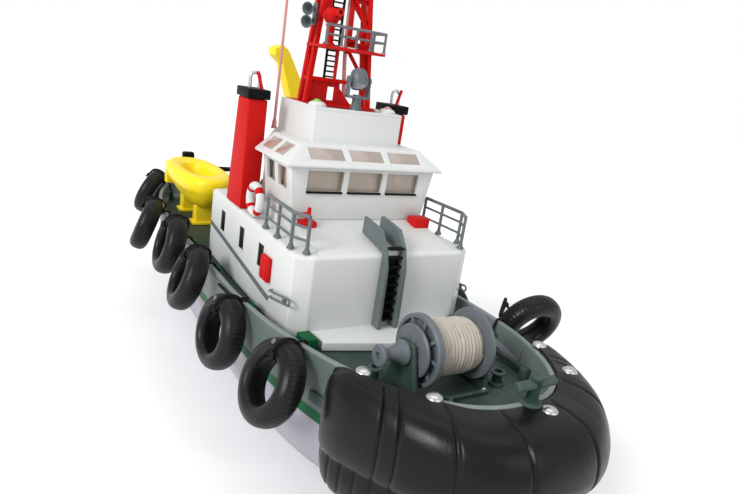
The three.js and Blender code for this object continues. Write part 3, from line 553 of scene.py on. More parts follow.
def reach(angle, test):
    """How far out from the fender's centre a test holds, in one direction."""
    near, far = 0.0, 400.0
    for _ in range(36):
        middle = (near + far) / 2
        if test(FENDER_X + middle * cos(angle), abs(middle * sin(angle))):
            near = middle
        else:
            far = middle
    return near


def in_fender(x, y):
    return x < 284 and (max(0, x - 100) / 184) ** 2.6 + (y / 88) ** 2.6 < 1


def in_hull(z):
    beam, bow, _ = waterline(z)
    return lambda x, y: (max(0, x - 50) / (bow - 50)) ** BOW_FULL + (y / beam) ** BOW_FULL < 1


# Share of the fender's thickness, and height, from its foot round to its top edge.
FENDER_OUTLINE = [(0.02, 34.4), (0.35, 34.2), (0.58, 36), (0.7, 41), (0.74, 48), (0.69, 54.5), (0.72, 56.8),
                  (0.86, 59.4), (0.955, 66), (0.995, 74), (0.99, 81), (0.955, 89), (0.88, 96), (0.76, 101.2),
                  (0.6, 104.3), (0.42, 105.6), (0.22, 105.6), (0.02, 105.2)]
FENDER_SECTION = smooth_path([(share, 0, z) for share, z in FENDER_OUTLINE], 3)
SEAM_ANGLES = [radians(a) for a in (-33, -29.4, -19.6, -7.5, 7.5, 19.6, 29.4, 33)]
CREASE_Z = 56.8
END_ANGLE = radians(50)
fender = Shape()
fender_rows = []
STATIONS = 400
FOOT_Z, TOP_Z, MIDDLE_Z = 34.2, 105.4, 70
END_LENGTH = radians(8.5)      # over which the fender's ends round off
SEAM_WIDTH, SEAM_DEPTH, PLEAT_DEPTH = 0.0062, 0.042, 0.034
PLEAT_FREQUENCY = 88
hull_tests = {round(p.z, 2): in_hull(p.z) for p in FENDER_SECTION}
for i in range(STATIONS + 1):
    angle = END_ANGLE * (2 * i / STATIONS - 1)
    outer = reach(angle, in_fender)
    past_end = max(0.0, 1 - (END_ANGLE - abs(angle)) / END_LENGTH)
    full = sqrt(max(0.0, 1 - past_end ** 2))
    seam = max(exp(-((angle - a) / SEAM_WIDTH) ** 2) for a in SEAM_ANGLES)
    pleat = (0.5 + 0.5 * cos(angle * PLEAT_FREQUENCY)) ** 9
    crease_z = 59.5 + 9 * (1 - (angle / END_ANGLE) ** 2)
    lift = 0.4 + 2.2 * min(1, max(0, (abs(angle) - radians(13)) / radians(10)))
    row = []
    for p in FENDER_SECTION:
        inner = reach(angle, hull_tests[round(p.z, 2)]) + 0.35
        if p.z > CREASE_Z:
            share = p.x - SEAM_DEPTH * seam * min(1, p.x * 2)
            height = crease_z + (p.z - CREASE_Z) * (TOP_Z - crease_z) / (TOP_Z - CREASE_Z)
        else:
            share = p.x - PLEAT_DEPTH * pleat * (p.x > 0.3)
            height = FOOT_Z + (p.z - FOOT_Z) * (crease_z - FOOT_Z) / (CREASE_Z - FOOT_Z)
        radius = inner + (outer - inner) * share * (0.6 + 0.4 * full)
        height = MIDDLE_Z + (height - MIDDLE_Z) * (0.8 + 0.2 * full if p.x > 0.1 else 0.9 + 0.1 * full)
        if p.z > 92:
            edge = sheer(FENDER_X + inner * cos(angle)) + lift * full
            height += (edge - TOP_Z) * min(1, (p.z - 92) / 12) * (1 - 0.4 * share) - seam * (share > 0.1)
        row.append(Vector((FENDER_X + radius * cos(angle), radius * sin(angle), height)))
    fender_rows.append(row)
fender.rows(fender_rows)
bow_fender = make("bow_fender_pad", fender, ["fender"], ["bow_fender"], angle=60)

piping = Shape()
crease_column = next(k for k, p in enumerate(FENDER_SECTION) if p.z > CREASE_Z - 0.3)
crease = [row[crease_column] for row in fender_rows]
centre = Vector((FENDER_X, 0, 0))
piping.tube([p + (p - centre).normalized() * 0.1 for p in crease[8:-8:2]], 0.6, 8)
make("fender_piping", piping, ["piping"])

studs = Shape()
for x, y in ((194, -61), (229, -42), (256, 9), (229, 54), (196, 65)):
    top_z = max(p.z for row in fender_rows for p in row if (p.x - x) ** 2 + (p.y - y) ** 2 < 9)
    studs.turned([(CLOSE, 1.7), (1.6, 1.55), (3.0, 1.1), (4.0, 0.4), (4.4, -0.3), (4.4, -1.2)],
                 (x, y, top_z + 0.2), steps=28)
make("fender_studs", studs, ["silver"])

# ---- Tyres and their lashings ----
TREADS = 56
TYRES_PER_SIDE = 6


def tyre_place(node):
    """Centre and axis of a tyre, from its own CAD solid."""
    points = [v.co / MM for v in frame["nodes"][node].data.vertices]
    middle = (low(node) + high(node)) / 2
    spread = Matrix([[sum((p - middle)[a] * (p - middle)[b] for p in points) for b in range(3)]
                     for a in range(3)])
    axis = Vector((0.1, 1, 0.05))
    inverse = spread.inverted()
    for _ in range(30):
        axis = (inverse @ axis).normalized()
    if abs(axis.y) > 0.5:
        axis *= copysign(1, axis.y * middle.y)
    elif axis.x < 0:
        axis = -axis
    return middle, axis


HALF_PROFILE = [(14.2, 0.6), (13.75, 1.8), (13.5, 3.4), (13.65, 5.0), (14.3, 6.4), (15.4, 7.5), (16.8, 8.0),
                (18.4, 8.0), (20.1, 7.6), (21.5, 7.0), (21.9, 6.6), (22.3, 6.45), (23.2, 5.7), (24.1, 4.5),
                (24.7, 3.0), (24.95, 1.8), (25.0, 0.6)]
TYRE_PROFILE = HALF_PROFILE + [(r, -h) for r, h in reversed(HALF_PROFILE)]
TREAD_FROM = 12
GROOVE = 0.991          # radius in a groove, as a share of the tread's
LASHING_R = 0.95
# Radius from the tyre's centre and height along its axis, once round its section.
OVER_TYRE = ((23, -8.2), (25.4, -4), (26.1, 0), (25.4, 4), (23.6, 7), (20.6, 8.7), (17, 9.1), (14, 8),
             (12.6, 4), (12.5, 0), (12.6, -4), (14, -8), (17, -9.1), (21, -8.8))
TURNED_AWAY = Vector((0.32, 0.95, 0))       # outwards, at the port tyre that has swung round


def tread(i, k):
    """Fine grooves across the tread."""
    on_tread = TREAD_FROM <= i < len(TYRE_PROFILE) - TREAD_FROM
    return GROOVE if on_tread and k % 4 == 0 else 1.0


for side_name, side in SIDES:
    for number in range(1, TYRES_PER_SIDE + 1):
        node = f"tyre_{side_name}_{number}"
        middle, axis = tyre_place(node)
        tyre = Shape().turned(TYRE_PROFILE, middle, axis, TREADS * 4, shape=tread, closed=True)
        make(f"{node}_ring", tyre, ["tyre"], [node], node, 50)
        swung_round = number == 1 and side > 0
        away = TURNED_AWAY if swung_round else Vector((axis.x, axis.y, 0)).normalized()
        along = Vector((away.y, -away.x, 0))
        joint = next(j for j in frame["joints"] if j["child"] == node)
        hinge = Vector(joint["pos_m"]) / MM
        rise = (UP - axis * axis.z).normalized()
        loop = Shape()

        def on_tyre(radius, height):
            return middle + rise * radius + axis * height

        if swung_round:
            path = [hinge + Vector((-7, 3.4, 2)), hinge + Vector((-9, 8, 9)), middle + Vector((-15, -12, 14)),
                    middle + Vector((-14, -15, 4)), hinge + Vector((-8, 4, 1.5))]
            loop.tube(smooth_path(path, 6), LASHING_R, 8)
            knot = hinge + Vector((-9, 8, 10))
        else:
            slant = 1 if number % 2 else -1
            spread = 3.2 / (len(OVER_TYRE) - 1)
            over_tyre = [on_tyre(r, h) + along * (slant * (1.6 - spread * k))
                         for k, (r, h) in enumerate(OVER_TYRE)]
            path = [hinge + along * (1.4 * slant) + away] + over_tyre
            path.append(hinge - along * (1.2 * slant) + away * 0.5)
            loop.tube(smooth_path(path, 4), LASHING_R, 8)
            knot = on_tyre(15.5, 9.8)
            eye = [(1.7, 0), (1.9, 0.5), (1.5, 1.1), (CLOSE, 1.2)]
            loop.turned(eye, on_tyre(21.0, 7.4) + along * 5, axis, 16, kind=1)
        for sign in (-1, 1):
            end = knot + along * (5 * sign) - UP * (2.5 + sign) + away * 1.2
            loop.tube(smooth_path([knot, knot + along * (2.6 * sign) + UP * 0.6, end], 4), 0.8, 8)
        turns = [knot + along * (1.9 * cos(a)) + UP * (1.7 * sin(a)) + away * (0.9 * cos(2 * a))
                 for a in circle(14)]
        loop.tube(turns, LASHING_R, 8, loop=True)
        make(f"{node}_lashing", loop, ["lashing", "fitting"], body=node, angle=60)

        over = Shape()
        top_z = sheer(hinge.x) + 1.4
        inner = hinge - away * (WALL + 2.8)
        cleat_foot = Vector((inner.x, inner.y, DECK_Z + 3))
        path = [hinge + away * 1.4 - UP * 0.6, Vector((hinge.x, hinge.y, top_z + 0.6)),
                Vector((inner.x, inner.y, top_z + 0.4)) + away,
                Vector((inner.x, inner.y, top_z - 3)) - away * 0.4, cleat_foot + UP * 5 - away * 2]
        over.tube(smooth_path(path, 5), LASHING_R, 8)
        make(f"{node}_tie", over, ["lashing"], angle=60)

        cleat = Shape()
        spot = placed(cleat_foot - away * 2.6, along, -away)
        cleat.block(-5, 5, -2.4, 2.4, -2.5, -0.6, 0.5, move=spot)
        cleat.block(-1.6, 1.6, -1.4, 1.4, -1, 4.4, 0.5, move=spot)
        ends = [spot @ Vector((s * 6.2, 0, 4.9 + abs(s) * 0.8)) for s in (-1, -0.5, 0, 0.5, 1)]
        cleat.tube(ends, [0.9, 1.4, 1.6, 1.4, 0.9], 10)
        if number == 1:
            cleat.block(121, 134, *sorted((side * 64.5, side * 55.5)), DECK_Z + 0.3, DECK_Z + 9, 0.9)
        make(f"cleat_{side_name}_{number}", cleat, ["stripe"])

line = Shape()
# Place along the hull, height, and distance off its side.
LINE_POINTS = ((30, 91.5, 1.2), (38, 92, 1.1), (48, 92.6, 1.0), (60, 94, 1.0), (72, 96.6, 0.8),
               (76, 97.6, -2.0), (77, 95, -4))
run = [(x, -(hull_side(x)[0] + d), z) for x, z, d in LINE_POINTS]
line.tube(smooth_path(run, 6), 1.0, 10)
make("side_line", line, ["lashing"], angle=60)

scupper = Shape()
for _, side in SIDES:
    y, yaw = hull_side(168)
    away = Vector((sin(yaw), side * cos(yaw), 0))
    spot = placed((168, side * y, 77), Vector((away.y, -away.x, 0)), away)
    scupper.block(-6, 6, -0.6, 0.5, -3.2, 3.2, 0.4, move=spot)
make("side_plates", scupper, ["deck"])

# ---- Winch ----
WX, WZ = 190, 112


def on_winch(shape, profile, steps=48, **rest):
    """A profile turned about the winch's shaft."""
    shape.turned(profile, (WX, 0, WZ), (0, 1, 0), steps, **rest)


def on_shaft(share):
    """A matrix for a rib that stands part of a turn round the winch's shaft."""
    return Matrix.Translation((WX, 0, WZ)) @ Matrix.Rotation(2 * pi * share, 4, "Y")


drum = Shape()
on_winch(drum, [(2.6, -48), (3, -47.5), (3, 20.5), (2.6, 21)], 20)
on_winch(drum, [(9.5, -22.2), (19.6, -22), (20.4, -22.5), (20.4, -25.6), (19.8, -26.2), (18.2, -26.2),
                (17.7, -25.7), (17.7, -23.6), (9.5, -23.6)], 72, closed=True)
on_winch(drum, [(3, -22.3), (9.8, -22.3), (9.8, -27.4), (9, -28), (3, -28)], 40, closed=True)
on_winch(drum, [(3, -27.5), (14.4, -27.5), (15, -28), (15, -29), (14.4, -29.6), (3, -29.6)], 56, closed=True)
for k in range(9):
    spin = on_shaft(k / 9)
    drum.block(9.2, 18.2, -26.0, -23.2, -0.95, 0.95, 0.35, move=spin)
for k in range(8):
    spin = on_shaft((k + 0.5) / 8)
    gusset = [(x, y, z) for z in (-0.5, 0.5) for x, y in ((3, -29.2), (13.6, -29.2), (3, -30.7))]
    drum.bevelled([spin @ Vector(p) for p in gusset], WEDGE_FACES, 0.12)
on_winch(drum, [(9.5, 11.1), (18.6, 11.1), (20.3, 11.5), (20.5, 12.4), (20.3, 13.4), (18.6, 13.9), (15, 13.6),
                (12, 13.9), (9.5, 13.9)], 72, closed=True)
on_winch(drum, [(3, 11), (9.8, 11), (9.8, 14.6), (8.8, 15.6), (3, 15.6)], 40, closed=True)
on_winch(drum, [(3, -22.4), (10, -22.4), (10, 11.3), (3, 11.3)], 32, closed=True)
on_winch(drum, [(3, -34), (6.8, -34.4), (7, -35.8), (5.4, -38.2), (3.8, -41.5), (3.3, -44.6), (4.0, -47.2),
                (5.9, -48.6), (6.2, -50), (5.6, -51), (2, -51), (1.6, -49), (CLOSE, -49), (CLOSE, -40)],
         ends=False)
make("winch_drum_turned", drum, ["grey"], ["winch_drum"], "winch")

rope = Shape()
on_winch(rope, [(10.3, -21.6), (13.4, -21.6), (13.4, 10.6), (10.3, 10.6)], 40, closed=True)
TURNS, PER_TURN, ROPE_R, WOUND_R = 12, 90, 1.36, 14.75
first, last = -21.6 + ROPE_R, 10.6 - ROPE_R
coil = []
for i in range(TURNS * PER_TURN + 1):
    angle = 2 * pi * i / PER_TURN
    share = i / (TURNS * PER_TURN)
    wobble = 0.12 * sin(angle * 0.37) + 0.08 * sin(angle * 1.7)
    radius = WOUND_R + wobble - 1.3 * max(0.0, share - 0.8) / 0.2
    y = first + share * (last - first) + 0.1 * sin(angle * 2.3)
    coil.append((WX + radius * cos(angle), y, WZ + radius * sin(angle)))


def strands(i, angle):
    return 0.84 + 0.2 * abs(cos(1.5 * (angle + i * 0.3)))


rope.tube(coil, ROPE_R, 12, section=strands)
make("winch_rope_wound", rope, ["rope"], ["winch_rope"], "winch", 70)
refine("winch_frame", "deck", 0.45)

# ---- Foredeck fittings ----
fittings = Shape()
for x, y, z, r in ((198, 32, 87, 4.6), (173, -39, 87, 4.2), (214, -20, 87, 3.6)):
    fittings.turned([(r, 0), (r, 1.2), (r * 0.62, 2), (r * 0.6, 6.2), (r, 7), (r, 8), (r * 0.55, 8.4),
                     (r * 0.5, 5.5)], (x, y, z - 0.3), steps=28)
for box in ((170, 203, 56.8, 59.6, 88.2, 91.4, 0.6), (179, 200, 60.8, 63.2, 87.0, 89.6, 0.5),
            (196.5, 201.5, 51.5, 56.5, 86.6, 94, 0.7), (150, 166, -58, -50, 86.4, 87.8, 0.5)):
    fittings.block(*box)
make("foredeck_fittings", fittings, ["deck"])

mounts = Shape()
for x in (176, 204):
    for y in (-31, 16):
        mounts.turned([(1.6, 0), (1.6, 0.9), (0.9, 1.3)], (x, y + 0.4, 88.7), steps=12)
make("winch_bolts", mounts, ["silver"])



def cross_bar(shape, x, y0, y1, chamfer, z):
    """The round bar across a bitt, with chamfered ends."""
    shape.tube([(x, y0, z), (x, y0 + chamfer, z), (x, y1 - chamfer, z), (x, y1, z)], [1.9, 2.6, 2.6, 1.9], 20)


bow_lo, bow_hi = low("bow_bitt"), high("bow_bitt")
bitt = Shape()
bx, by = (bow_lo.x + bow_hi.x + 1) / 2, (bow_lo.y + bow_hi.y) / 2
bitt.turned([(5.4, 0), (5.6, 0.8), (5, 1.8), (3.2, 2.6), (3, 4), (3, 13.2), (3.5, 14), (3.5, 15.6),
             (2.8, 16.3)], (bx, by, bow_lo.z), steps=28)
cross_bar(bitt, bx, bow_lo.y, bow_hi.y, 0.6, 119)
make("bow_bitt_cast", bitt, ["deck"], ["bow_bitt"])

aft_lo = low("aft_bitt")
aft = Shape()
ax = -238
for _, side in SIDES:
    aft.turned([(5.4, 0), (5.4, 1.4), (3.2, 2.4), (3, 4), (3, 37), (3.4, 38), (3.4, 39), (2.6, 39.7)],
               (ax, side * 14.4, aft_lo.z), steps=24)
cross_bar(aft, ax, -24, 24, 0.7, 121)
aft.block(-244, -233, -19.4, 19.4, aft_lo.z, aft_lo.z + 2, 0.5)
make("aft_bitt_cast", aft, ["black"], ["aft_bitt"])

# ---- Deckhouse, wheelhouse and roof ----
refine("deckhouse", "white", 2.0, 4)
refine("wheelhouse", "white")
refine("wheelhouse_roof", "white")
refine("helm_console", "grey", 0.8)


def wall(x, side):
    """Where the deckhouse's side wall stands, at a place along it."""
    return side * (66 + 1.5 * (x + 55) / 167)


def plate_on_side(shape, side, x0, x1, z0, z1, proud, width):
    """A plate on the side wall, sunk a little way into it."""
    y = wall((x0 + x1) / 2, side)
    a, b = sorted((y - side * 0.3, y + side * proud))
    shape.block(x0, x1, a, b, z0, z1, width)


WINDOW_PLACES = (-22, 22, 61)
WINDOW_HALF, WINDOW_LOW, WINDOW_HIGH, FRAME = 5, 115.5, 131.5, 0.4
panes = Shape()
frames = Shape()
for _, side in SIDES:
    for x in WINDOW_PLACES:
        plate_on_side(panes, side, x - WINDOW_HALF, x + WINDOW_HALF, WINDOW_LOW, WINDOW_HIGH, 0.5, 0.4)
        y = wall(x, side) + side * 0.1
        x0, x1 = x - WINDOW_HALF - FRAME, x + WINDOW_HALF + FRAME
        z0, z1 = WINDOW_LOW - FRAME, WINDOW_HIGH + FRAME
        edge = [(x0, z0), (x1, z0), (x1, z1), (x0, z1)]
        frames.tube([(a, y, b) for a, b in edge], 0.7, 8, loop=True)
make("deckhouse_windows", panes, ["dark_glass"])
make("deckhouse_window_frames", frames, ["white"])

red_fittings = Shape()
plate_on_side(red_fittings, -1, 67.5, 81, 111, 127.5, 3.2, 1.0)
plate_on_side(red_fittings, -1, 69.3, 79.2, 113, 125.5, 3.9, 0.5)
red_fittings.block(73.5, 82.5, -50, -39, 142.6, 153, 1.0)
red_fittings.turned([(3, 0), (3, 1), (1.5, 2), (1.3, 8.6), (0.8, 9)], (78.5, -44, 152.8), steps=20)
red_fittings.turned([(1.9, 0), (1.6, 5)], (78.5, -44, 157), (0.3, -0.9, 0.1), 16)
red_fittings.block(73.2, 84.5, 39, 52, 142.4, 155.5, 1.2)
make("fire_boxes", red_fittings, ["red"])

rub = Shape()
hand = Shape()
for _, side in SIDES:
    corners = [(x, wall(x, side) + side * d, z + h)
               for x, z in ((-52, 114), (80, 100)) for d in (-0.3, 0.9) for h in (-1.6, 1.6)]
    rub.bevelled(corners, BOX_FACES, 0.35)
    w = wall(97, side) + side * 2.2
    bend = [(115 + 2.1 * sin(a), w, 112 - 2.1 * cos(a)) for a in (pi * k / 6 for k in range(7))]
    hand.tube([(86, w - side * 4, 103.6), (86, w, 104)] + bend
              + [(86, w, 108.2), (86, w - side * 4, 108.6)], 0.75, 10)
    hand.turned([(1.2, 0), (1.2, 3.6)], (108, w - side * 3.2, 110.3), (0, side, 0), 14)
make("side_rubbing_strips", rub, ["grey"])
make("side_handrails", hand, ["grey"])

PANE_PITCH = 31         # from one front window to the next
sills = Shape()
for i in (-1, 0, 1):
    y = i * PANE_PITCH
    sills.block(70.6, 72.6, y - 13.5, y + 13.5, 169.6, 171, 0.25)
make("window_sills", sills, ["black"])

lining = Shape()
lining.block(21.5, 62, -46, 46, 151.6, 153, 0.3)
lining.block(19, 21, -44, 44, 152, 184, 0.3)
make("cabin_lining", lining, ["cream"])

# ---- Funnels, rings and railings ----
for side_name, side in SIDES:
    refine(f"funnel_{side_name}", "red", 1.2, 3)
    refine(f"funnel_cap_{side_name}", "black", 0.9, 3)
    hoops = Shape()
    arc = [(2, side * (60 - 3.5 * cos(a)), 236 + 3.5 * sin(a)) for a in (pi * k / 12 for k in range(13))]
    hoops.tube([(2, side * 56.5, 228.8)] + arc + [(2, side * 63.5, 228.8)], 1.25, 14)
    post = Shape()
    post.tube([(9, side * 57, 228.6), (8.7, side * 59, 235), (8.4, side * 60.8, 240.5)], 1.2, 12)
    make(f"vent_pipe_{side_name}", post, ["red"])
    make(f"exhaust_hoop_{side_name}", hoops, ["silver"], [f"exhaust_pipe_{side_name}"])

    buoy = Shape()
    node = f"life_ring_{side_name}"
    middle = (low(node) + high(node)) / 2
    profile = [(9.5 + 2.95 * cos(a), 2.95 * sin(a)) for a in circle(16)]

    def band(r, c):
        return 1 if c % 16 in (0, 1, 14, 15) else 0

    buoy.turned(profile, middle, (0, 1, 0), 64, kinds=band, closed=True)
    make(f"{node}_buoy", buoy, ["white", "red"], [node], angle=60)

    posts = Shape()
    node = f"roof_railing_{side_name}"
    feet = [(59, 65), (80, 65.4), (102, 65.8), (113, 60)]
    for x, y in feet:
        posts.turned([(2.6, 0), (2.6, 0.6), (1.5, 2.4), (1.15, 4), (1.15, 22), (CLOSE, 22.2)],
                     (x, side * y, low(node).z), steps=14)
    for z, r in ((165, 1.25), (158, 0.85), (150, 0.85)):
        run = [Vector((x, side * y, z)) for x, y in feet]
        posts.tube(run[:3] + [run[2].lerp(run[3], 0.5), run[3]], r, 10)
    make(f"{node}_bars", posts, ["grey"], [node])

# The ladder from the foredeck up the front of the deckhouse.
cheek = [(119.4, 93), (127.5, 93), (127.5, 104), (126.5, 134), (122.5, 147), (114, 157), (92, 160),
         (91.5, 148.5), (108, 145.2), (118.6, 143), (119.4, 141)]
steps = Shape()
for y0, y1 in ((-9.6, -7.4), (3.4, 6.6)):
    steps.prism(cheek, y0, y1, 0.5)
# The treads and the back plate behind them are black: painted shade for the shadowed gap between the cheeks.
STEPS, FIRST_STEP, STEP_RISE = 9, 97.5, 6.1
for k in range(STEPS):
    z = FIRST_STEP + k * STEP_RISE
    steps.block(120.6, 124.6, -7.8, 3.7, z, z + 1.5, 0.3, kind=1)
# Back plate: a sheet of painted shade behind the treads.
steps.block(119.45, 119.9, -7.5, 3.5, 95, 141, 0.15, kind=1)
make("foredeck_ladder_steps", steps, ["cheek", "black"], ["foredeck_ladder"])

# ---- Roof panes, rim and lamp housings ----
roof_panes = Shape()
for i in (-1, 0, 1):
    y = i * PANE_PITCH
    slope = [(64.7, 198.9), (72.8, 191.6), (72.8, 190.8), (64.7, 198.1)]
    roof_panes.prism(slope, y - 13.2, y + 13.2, 0.15)
for _, side in SIDES:
    for x0, x1 in ((24, 40), (46, 60)):
        slope = [(side * y, z + 0.25)
                 for y, z in ((50.5, 198.9), (58.5, 191.8), (58.3, 190.8), (50.3, 197.9))]
        roof_panes.prism(slope, x0, x1, 0.2, plane="yz")
make("roof_panes", roof_panes, ["pane"])

rim = Shape()
rim.block(50.4, 52, -35, 35, 221.6, 224.4, 0.5)
for _, side in SIDES:
    rim.block(-8, 51.5, *sorted((side * 33.4, side * 35)), 221.6, 224.4, 0.5)
    rounds = [(CLOSE, 5.8), (3.2, 5.6), (5.0, 4.9), (6.0, 3.9), (6.4, 2.6), (6.4, 0)]
    rim.turned(rounds, (41, side * 28.6, 221.6), steps=36)
make("roof_rim", rim, ["white"])

# ---- Searchlight ----
LX, LZ = 44, 244.5      # where the lamp's two axes meet
REST_DIP = radians(65)  # how far the lamp points below level at rest
stand = Shape()
foot = low("searchlight_pedestal").z
stand.turned([(4.7, 0), (4.8, 0.6), (4.3, 1.6), (3.9, 3), (3.5, 5), (3.1, 8.4), (3.4, 8.8), (3.4, 9.5)],
             (LX, 0, foot))
make("searchlight_stand", stand, ["grey"], ["searchlight_pedestal"])
yoke = Shape()
yz = low("searchlight_yoke").z
yoke.block(LX - 2.6, LX + 2.6, -8.8, 8.8, yz, yz + 1.8, 0.4)
yoke.turned([(3, 0), (3, 2.6)], (LX, 0, yz), steps=24)
for _, side in SIDES:
    a, b = sorted((side * 7.3, side * 8.8))
    yoke.block(LX - 2.5, LX + 2.5, a, b, yz + 0.3, LZ + 2.5, 0.6)
    yoke.turned([(1.7, 0), (1.7, 0.7), (1.1, 1.1)], (LX, side * 8.7, LZ), (0, side, 0), 16)
make("searchlight_fork", yoke, ["grey"], ["searchlight_yoke"], "searchlight_yoke")
aim = Vector((cos(REST_DIP), 0, -sin(REST_DIP)))
lamp = Shape()
lamp.turned([(CLOSE, -8.2), (2.4, -8.1), (4.2, -7.4), (5.3, -6.1), (5.9, -4.2), (6.1, -2), (6.2, 3.4),
             (6.0, 3.7), (6.2, 4.1), (6.2, 4.8), (5.5, 4.9), (5.2, 4.2)], (LX, 0, LZ), aim, 40)
for _, side in SIDES:
    lamp.turned([(1.8, 0), (1.8, 1.2)], (LX, side * 5.9, LZ), (0, side, 0), 16)
lamp.turned([(5.1, 4.1), (4.6, 4.6), (3, 4.9), (CLOSE, 5)], (LX, 0, LZ), aim, 40, kind=1)
make("searchlight_head", lamp, ["grey", "lamp_face"], ["searchlight_lamp"],
     "searchlight_lamp")

LENSES = {"port": ("red_lens", "port_lens"), "starboard": ("green_lens", "green_lens")}    # slot and material
for side_name, side in SIDES:
    dome = Shape()
    node = f"nav_light_{side_name}"
    place = (41, side * 29, low(node).z)
    dome.turned([(4.2, 0), (4.2, 0.9), (3.9, 1.3)], place, steps=28, kind=1)
    dome.turned([(3.6, 1.2), (3.6, 3.2), (3.3, 4.5), (2.4, 5.7), (1.2, 6.4), (CLOSE, 6.6)], place,
                steps=28)
    slot, lens = LENSES[side_name]
    make(f"{node}_dome", dome, [lens, "grey"], [node])

# ---- Mast and what it carries ----
refine("mast", "red", 0.35)
plates = Shape()


def mast_front(z):
    """Where the mast's front stands at a height."""
    return 16 - (z - 222.3) * 0.045


def mast_plate(outline_yz, back=0.9):
    """A flat web in the mast's sloping front."""
    points = [(mast_front(z) - back - t, y, z) for t in (0, 1.3) for y, z in outline_yz]
    plates.bevelled(points, prism_faces(len(outline_yz)), 0.2)


for web in ([(-25.5, 224), (-9, 224), (-8.4, 241), (-24, 241)], [(-3.4, 224), (2, 224), (1, 241), (-3, 241)],
            [(-9.2, 236.5), (-2.8, 236.5), (-2.8, 241), (-9.2, 241)],
            [(-9.2, 223.6), (-2.8, 223.6), (-2.8, 227), (-9.2, 227)], [(2, 224), (13, 224), (1.5, 236)]):
    mast_plate(web)
mast_plate([(-20.2, 284), (-11, 284), (-11, 300.4), (-18.6, 300.4)], back=1.4)
mast_plate([(21.8, 248), (14.5, 264), (22.2, 264)])
# Each strip's two ends and its width.
STRIPS = (((5.4, 267), (5.4, 335), 3.4), ((4.5, 268), (20, 268), 4), ((7, 268), (18.5, 282), 3.6),
          ((18, 283), (7, 296), 3.6), ((5, 299), (18.5, 299), 4), ((7, 302), (17, 316), 3.4),
          ((16.8, 317), (6.5, 330), 3.4), ((5, 333), (15, 333), 4))
for start, end, width in STRIPS:
    a, b = Vector(start), Vector(end)
    across = Vector((-(b - a).y, (b - a).x)).normalized() * (width / 2)
    mast_plate([tuple(a - across), tuple(b - across), tuple(b + across), tuple(a + across)])
plates.tube([(mast_front(z) - 1.5, -3.6, z) for z in (241, 263)], 1.25, 10)
make("mast_webs", plates, ["red"])

ladder = Shape()
for y in (-11.5, -2.5):
    ladder.tube([(11.8 - 0.046 * 15, y + 4 * 15 / 135, 241), (5.6, y + 4, 361)], 1.0, 10)
RUNGS, FIRST_RUNG, RUNG_RISE = 32, 243.5, 3.7
for i in range(RUNGS):
    z = FIRST_RUNG + i * RUNG_RISE
    share = (z - 226) / 135
    x, y = 11.8 - 6.2 * share, -11.5 + 4 * share
    ladder.tube([(x, y, z), (x, y + 9, z)], 0.62, 8)
make("mast_ladder_bars", ladder, ["black"], ["mast_ladder"])

corners = [(33, -23.5), (33, 23.5), (17, 23.5)]
fence = Shape()
fz = low("platform_railing").z
for x, y in corners + [(33, -11.75), (33, 0), (33, 11.75)]:
    fence.turned([(1.7, 0), (1.7, 0.5), (0.95, 1.2), (0.95, 13.6), (CLOSE, 13.7)], (x, y, fz), steps=12)
for z, r in ((278.2, 1.0), (272, 0.8)):
    fence.tube([(x, y, z) for x, y in corners], r, 10)
make("platform_railing_bars", fence, ["grey"], ["platform_railing"])

horns = Shape()
leg = -(26.5 - (285 - 222.3) * 0.105) - 2.6
horns.block(7, 12, leg - 1.6, leg, 277, 292, 0.4)
mouth = Vector((0.6, -0.78, -0.16)).normalized()
for z in (280, 288.5):
    horns.turned([(1.5, 0), (1.6, 3), (1.9, 5.5), (2.7, 8.4), (4.1, 10.6), (4.4, 11), (4.0, 11), (2.4, 8.6),
                  (1.2, 5.8), (CLOSE, 5.4)], (8.5, leg - 0.6, z), mouth, 28)
make("loudhailer_horns", horns, ["grey"], ["loudhailer"])

radar = Shape()
rz = low("radar_scanner").z
radar.turned([(5, 0), (5, 4.4), (4.4, 5), (2.2, 5.6), (2, 6.6)], (4, 0, rz), steps=28)
radar.block(1.4, 6.6, -21, 21, rz + 6, rz + 11, 1.4, segments=3)
make("radar_bar", radar, ["white"], ["radar_scanner"], "radar")

gun = Shape()
gz = low("fire_monitor").z
GX, GY = 23, -16.5
gun.turned([(4.2, 0), (4.2, 1), (3, 1.8), (3, 12), (3.6, 12.6), (3.6, 13.6)], (GX, GY, gz), steps=24)
gun.turned([(CLOSE, 0), (3.2, 0.4), (4.8, 1.8), (5.6, 4), (5.7, 5.5), (5.6, 7), (4.8, 9.2), (3.2, 10.6),
            (CLOSE, 11)], (GX, GY, 279))
nozzle = Vector((13, 0, 2.5)).normalized()
gun.turned([(2.9, 0), (2.7, 6), (2.2, 8), (2.2, 10), (2.7, 10.6), (2.7, 13), (1.5, 13), (1.4, 10)],
           (GX, GY, 284.5), nozzle, 24)
for _, side in SIDES:
    gun.turned([(2.2, 0), (2.2, 1.2)], (GX, GY + side * 5.2, 284.5), (0, side, 0), 18)
make("fire_monitor_gun", gun, ["red"], ["fire_monitor"], "fire_monitor")

hose = Shape()
hose_route = [(11.8 - (z - 226) * 0.046, y, z) for y, z in
              ((7, 227), (6, 241), (4.5, 258), (4.2, 275), (4.2, 300), (4.4, 330), (4.6, 350), (4.8, 364))]
hose.tube(smooth_path(hose_route, 8), 1.5, 14)
make("monitor_hose_run", hose, ["hose"], ["monitor_hose"])

whip = Shape()
top_z = high("antenna").z
whip.turned([(2.2, 0), (2.2, 1), (1.7, 2), (1.6, 5), (1.2, 6.5), (0.9, 8)], (0, -41.5, 201.4), steps=20)
whip.tube([(0, -41.5, 206), (1, -41.5, 310), (2, -41.5, top_z)], [1.05, 0.9, 0.7], 12)
make("antenna_whip", whip, ["hose"], ["antenna"])

# ---- Crane and rescue boat ----
refine("crane_column", "yellow", 0.8, 3)
refine("crane_boom", "yellow", 2.4, 4)

CX, CY = -166, -46
PLAN_STEPS = 56


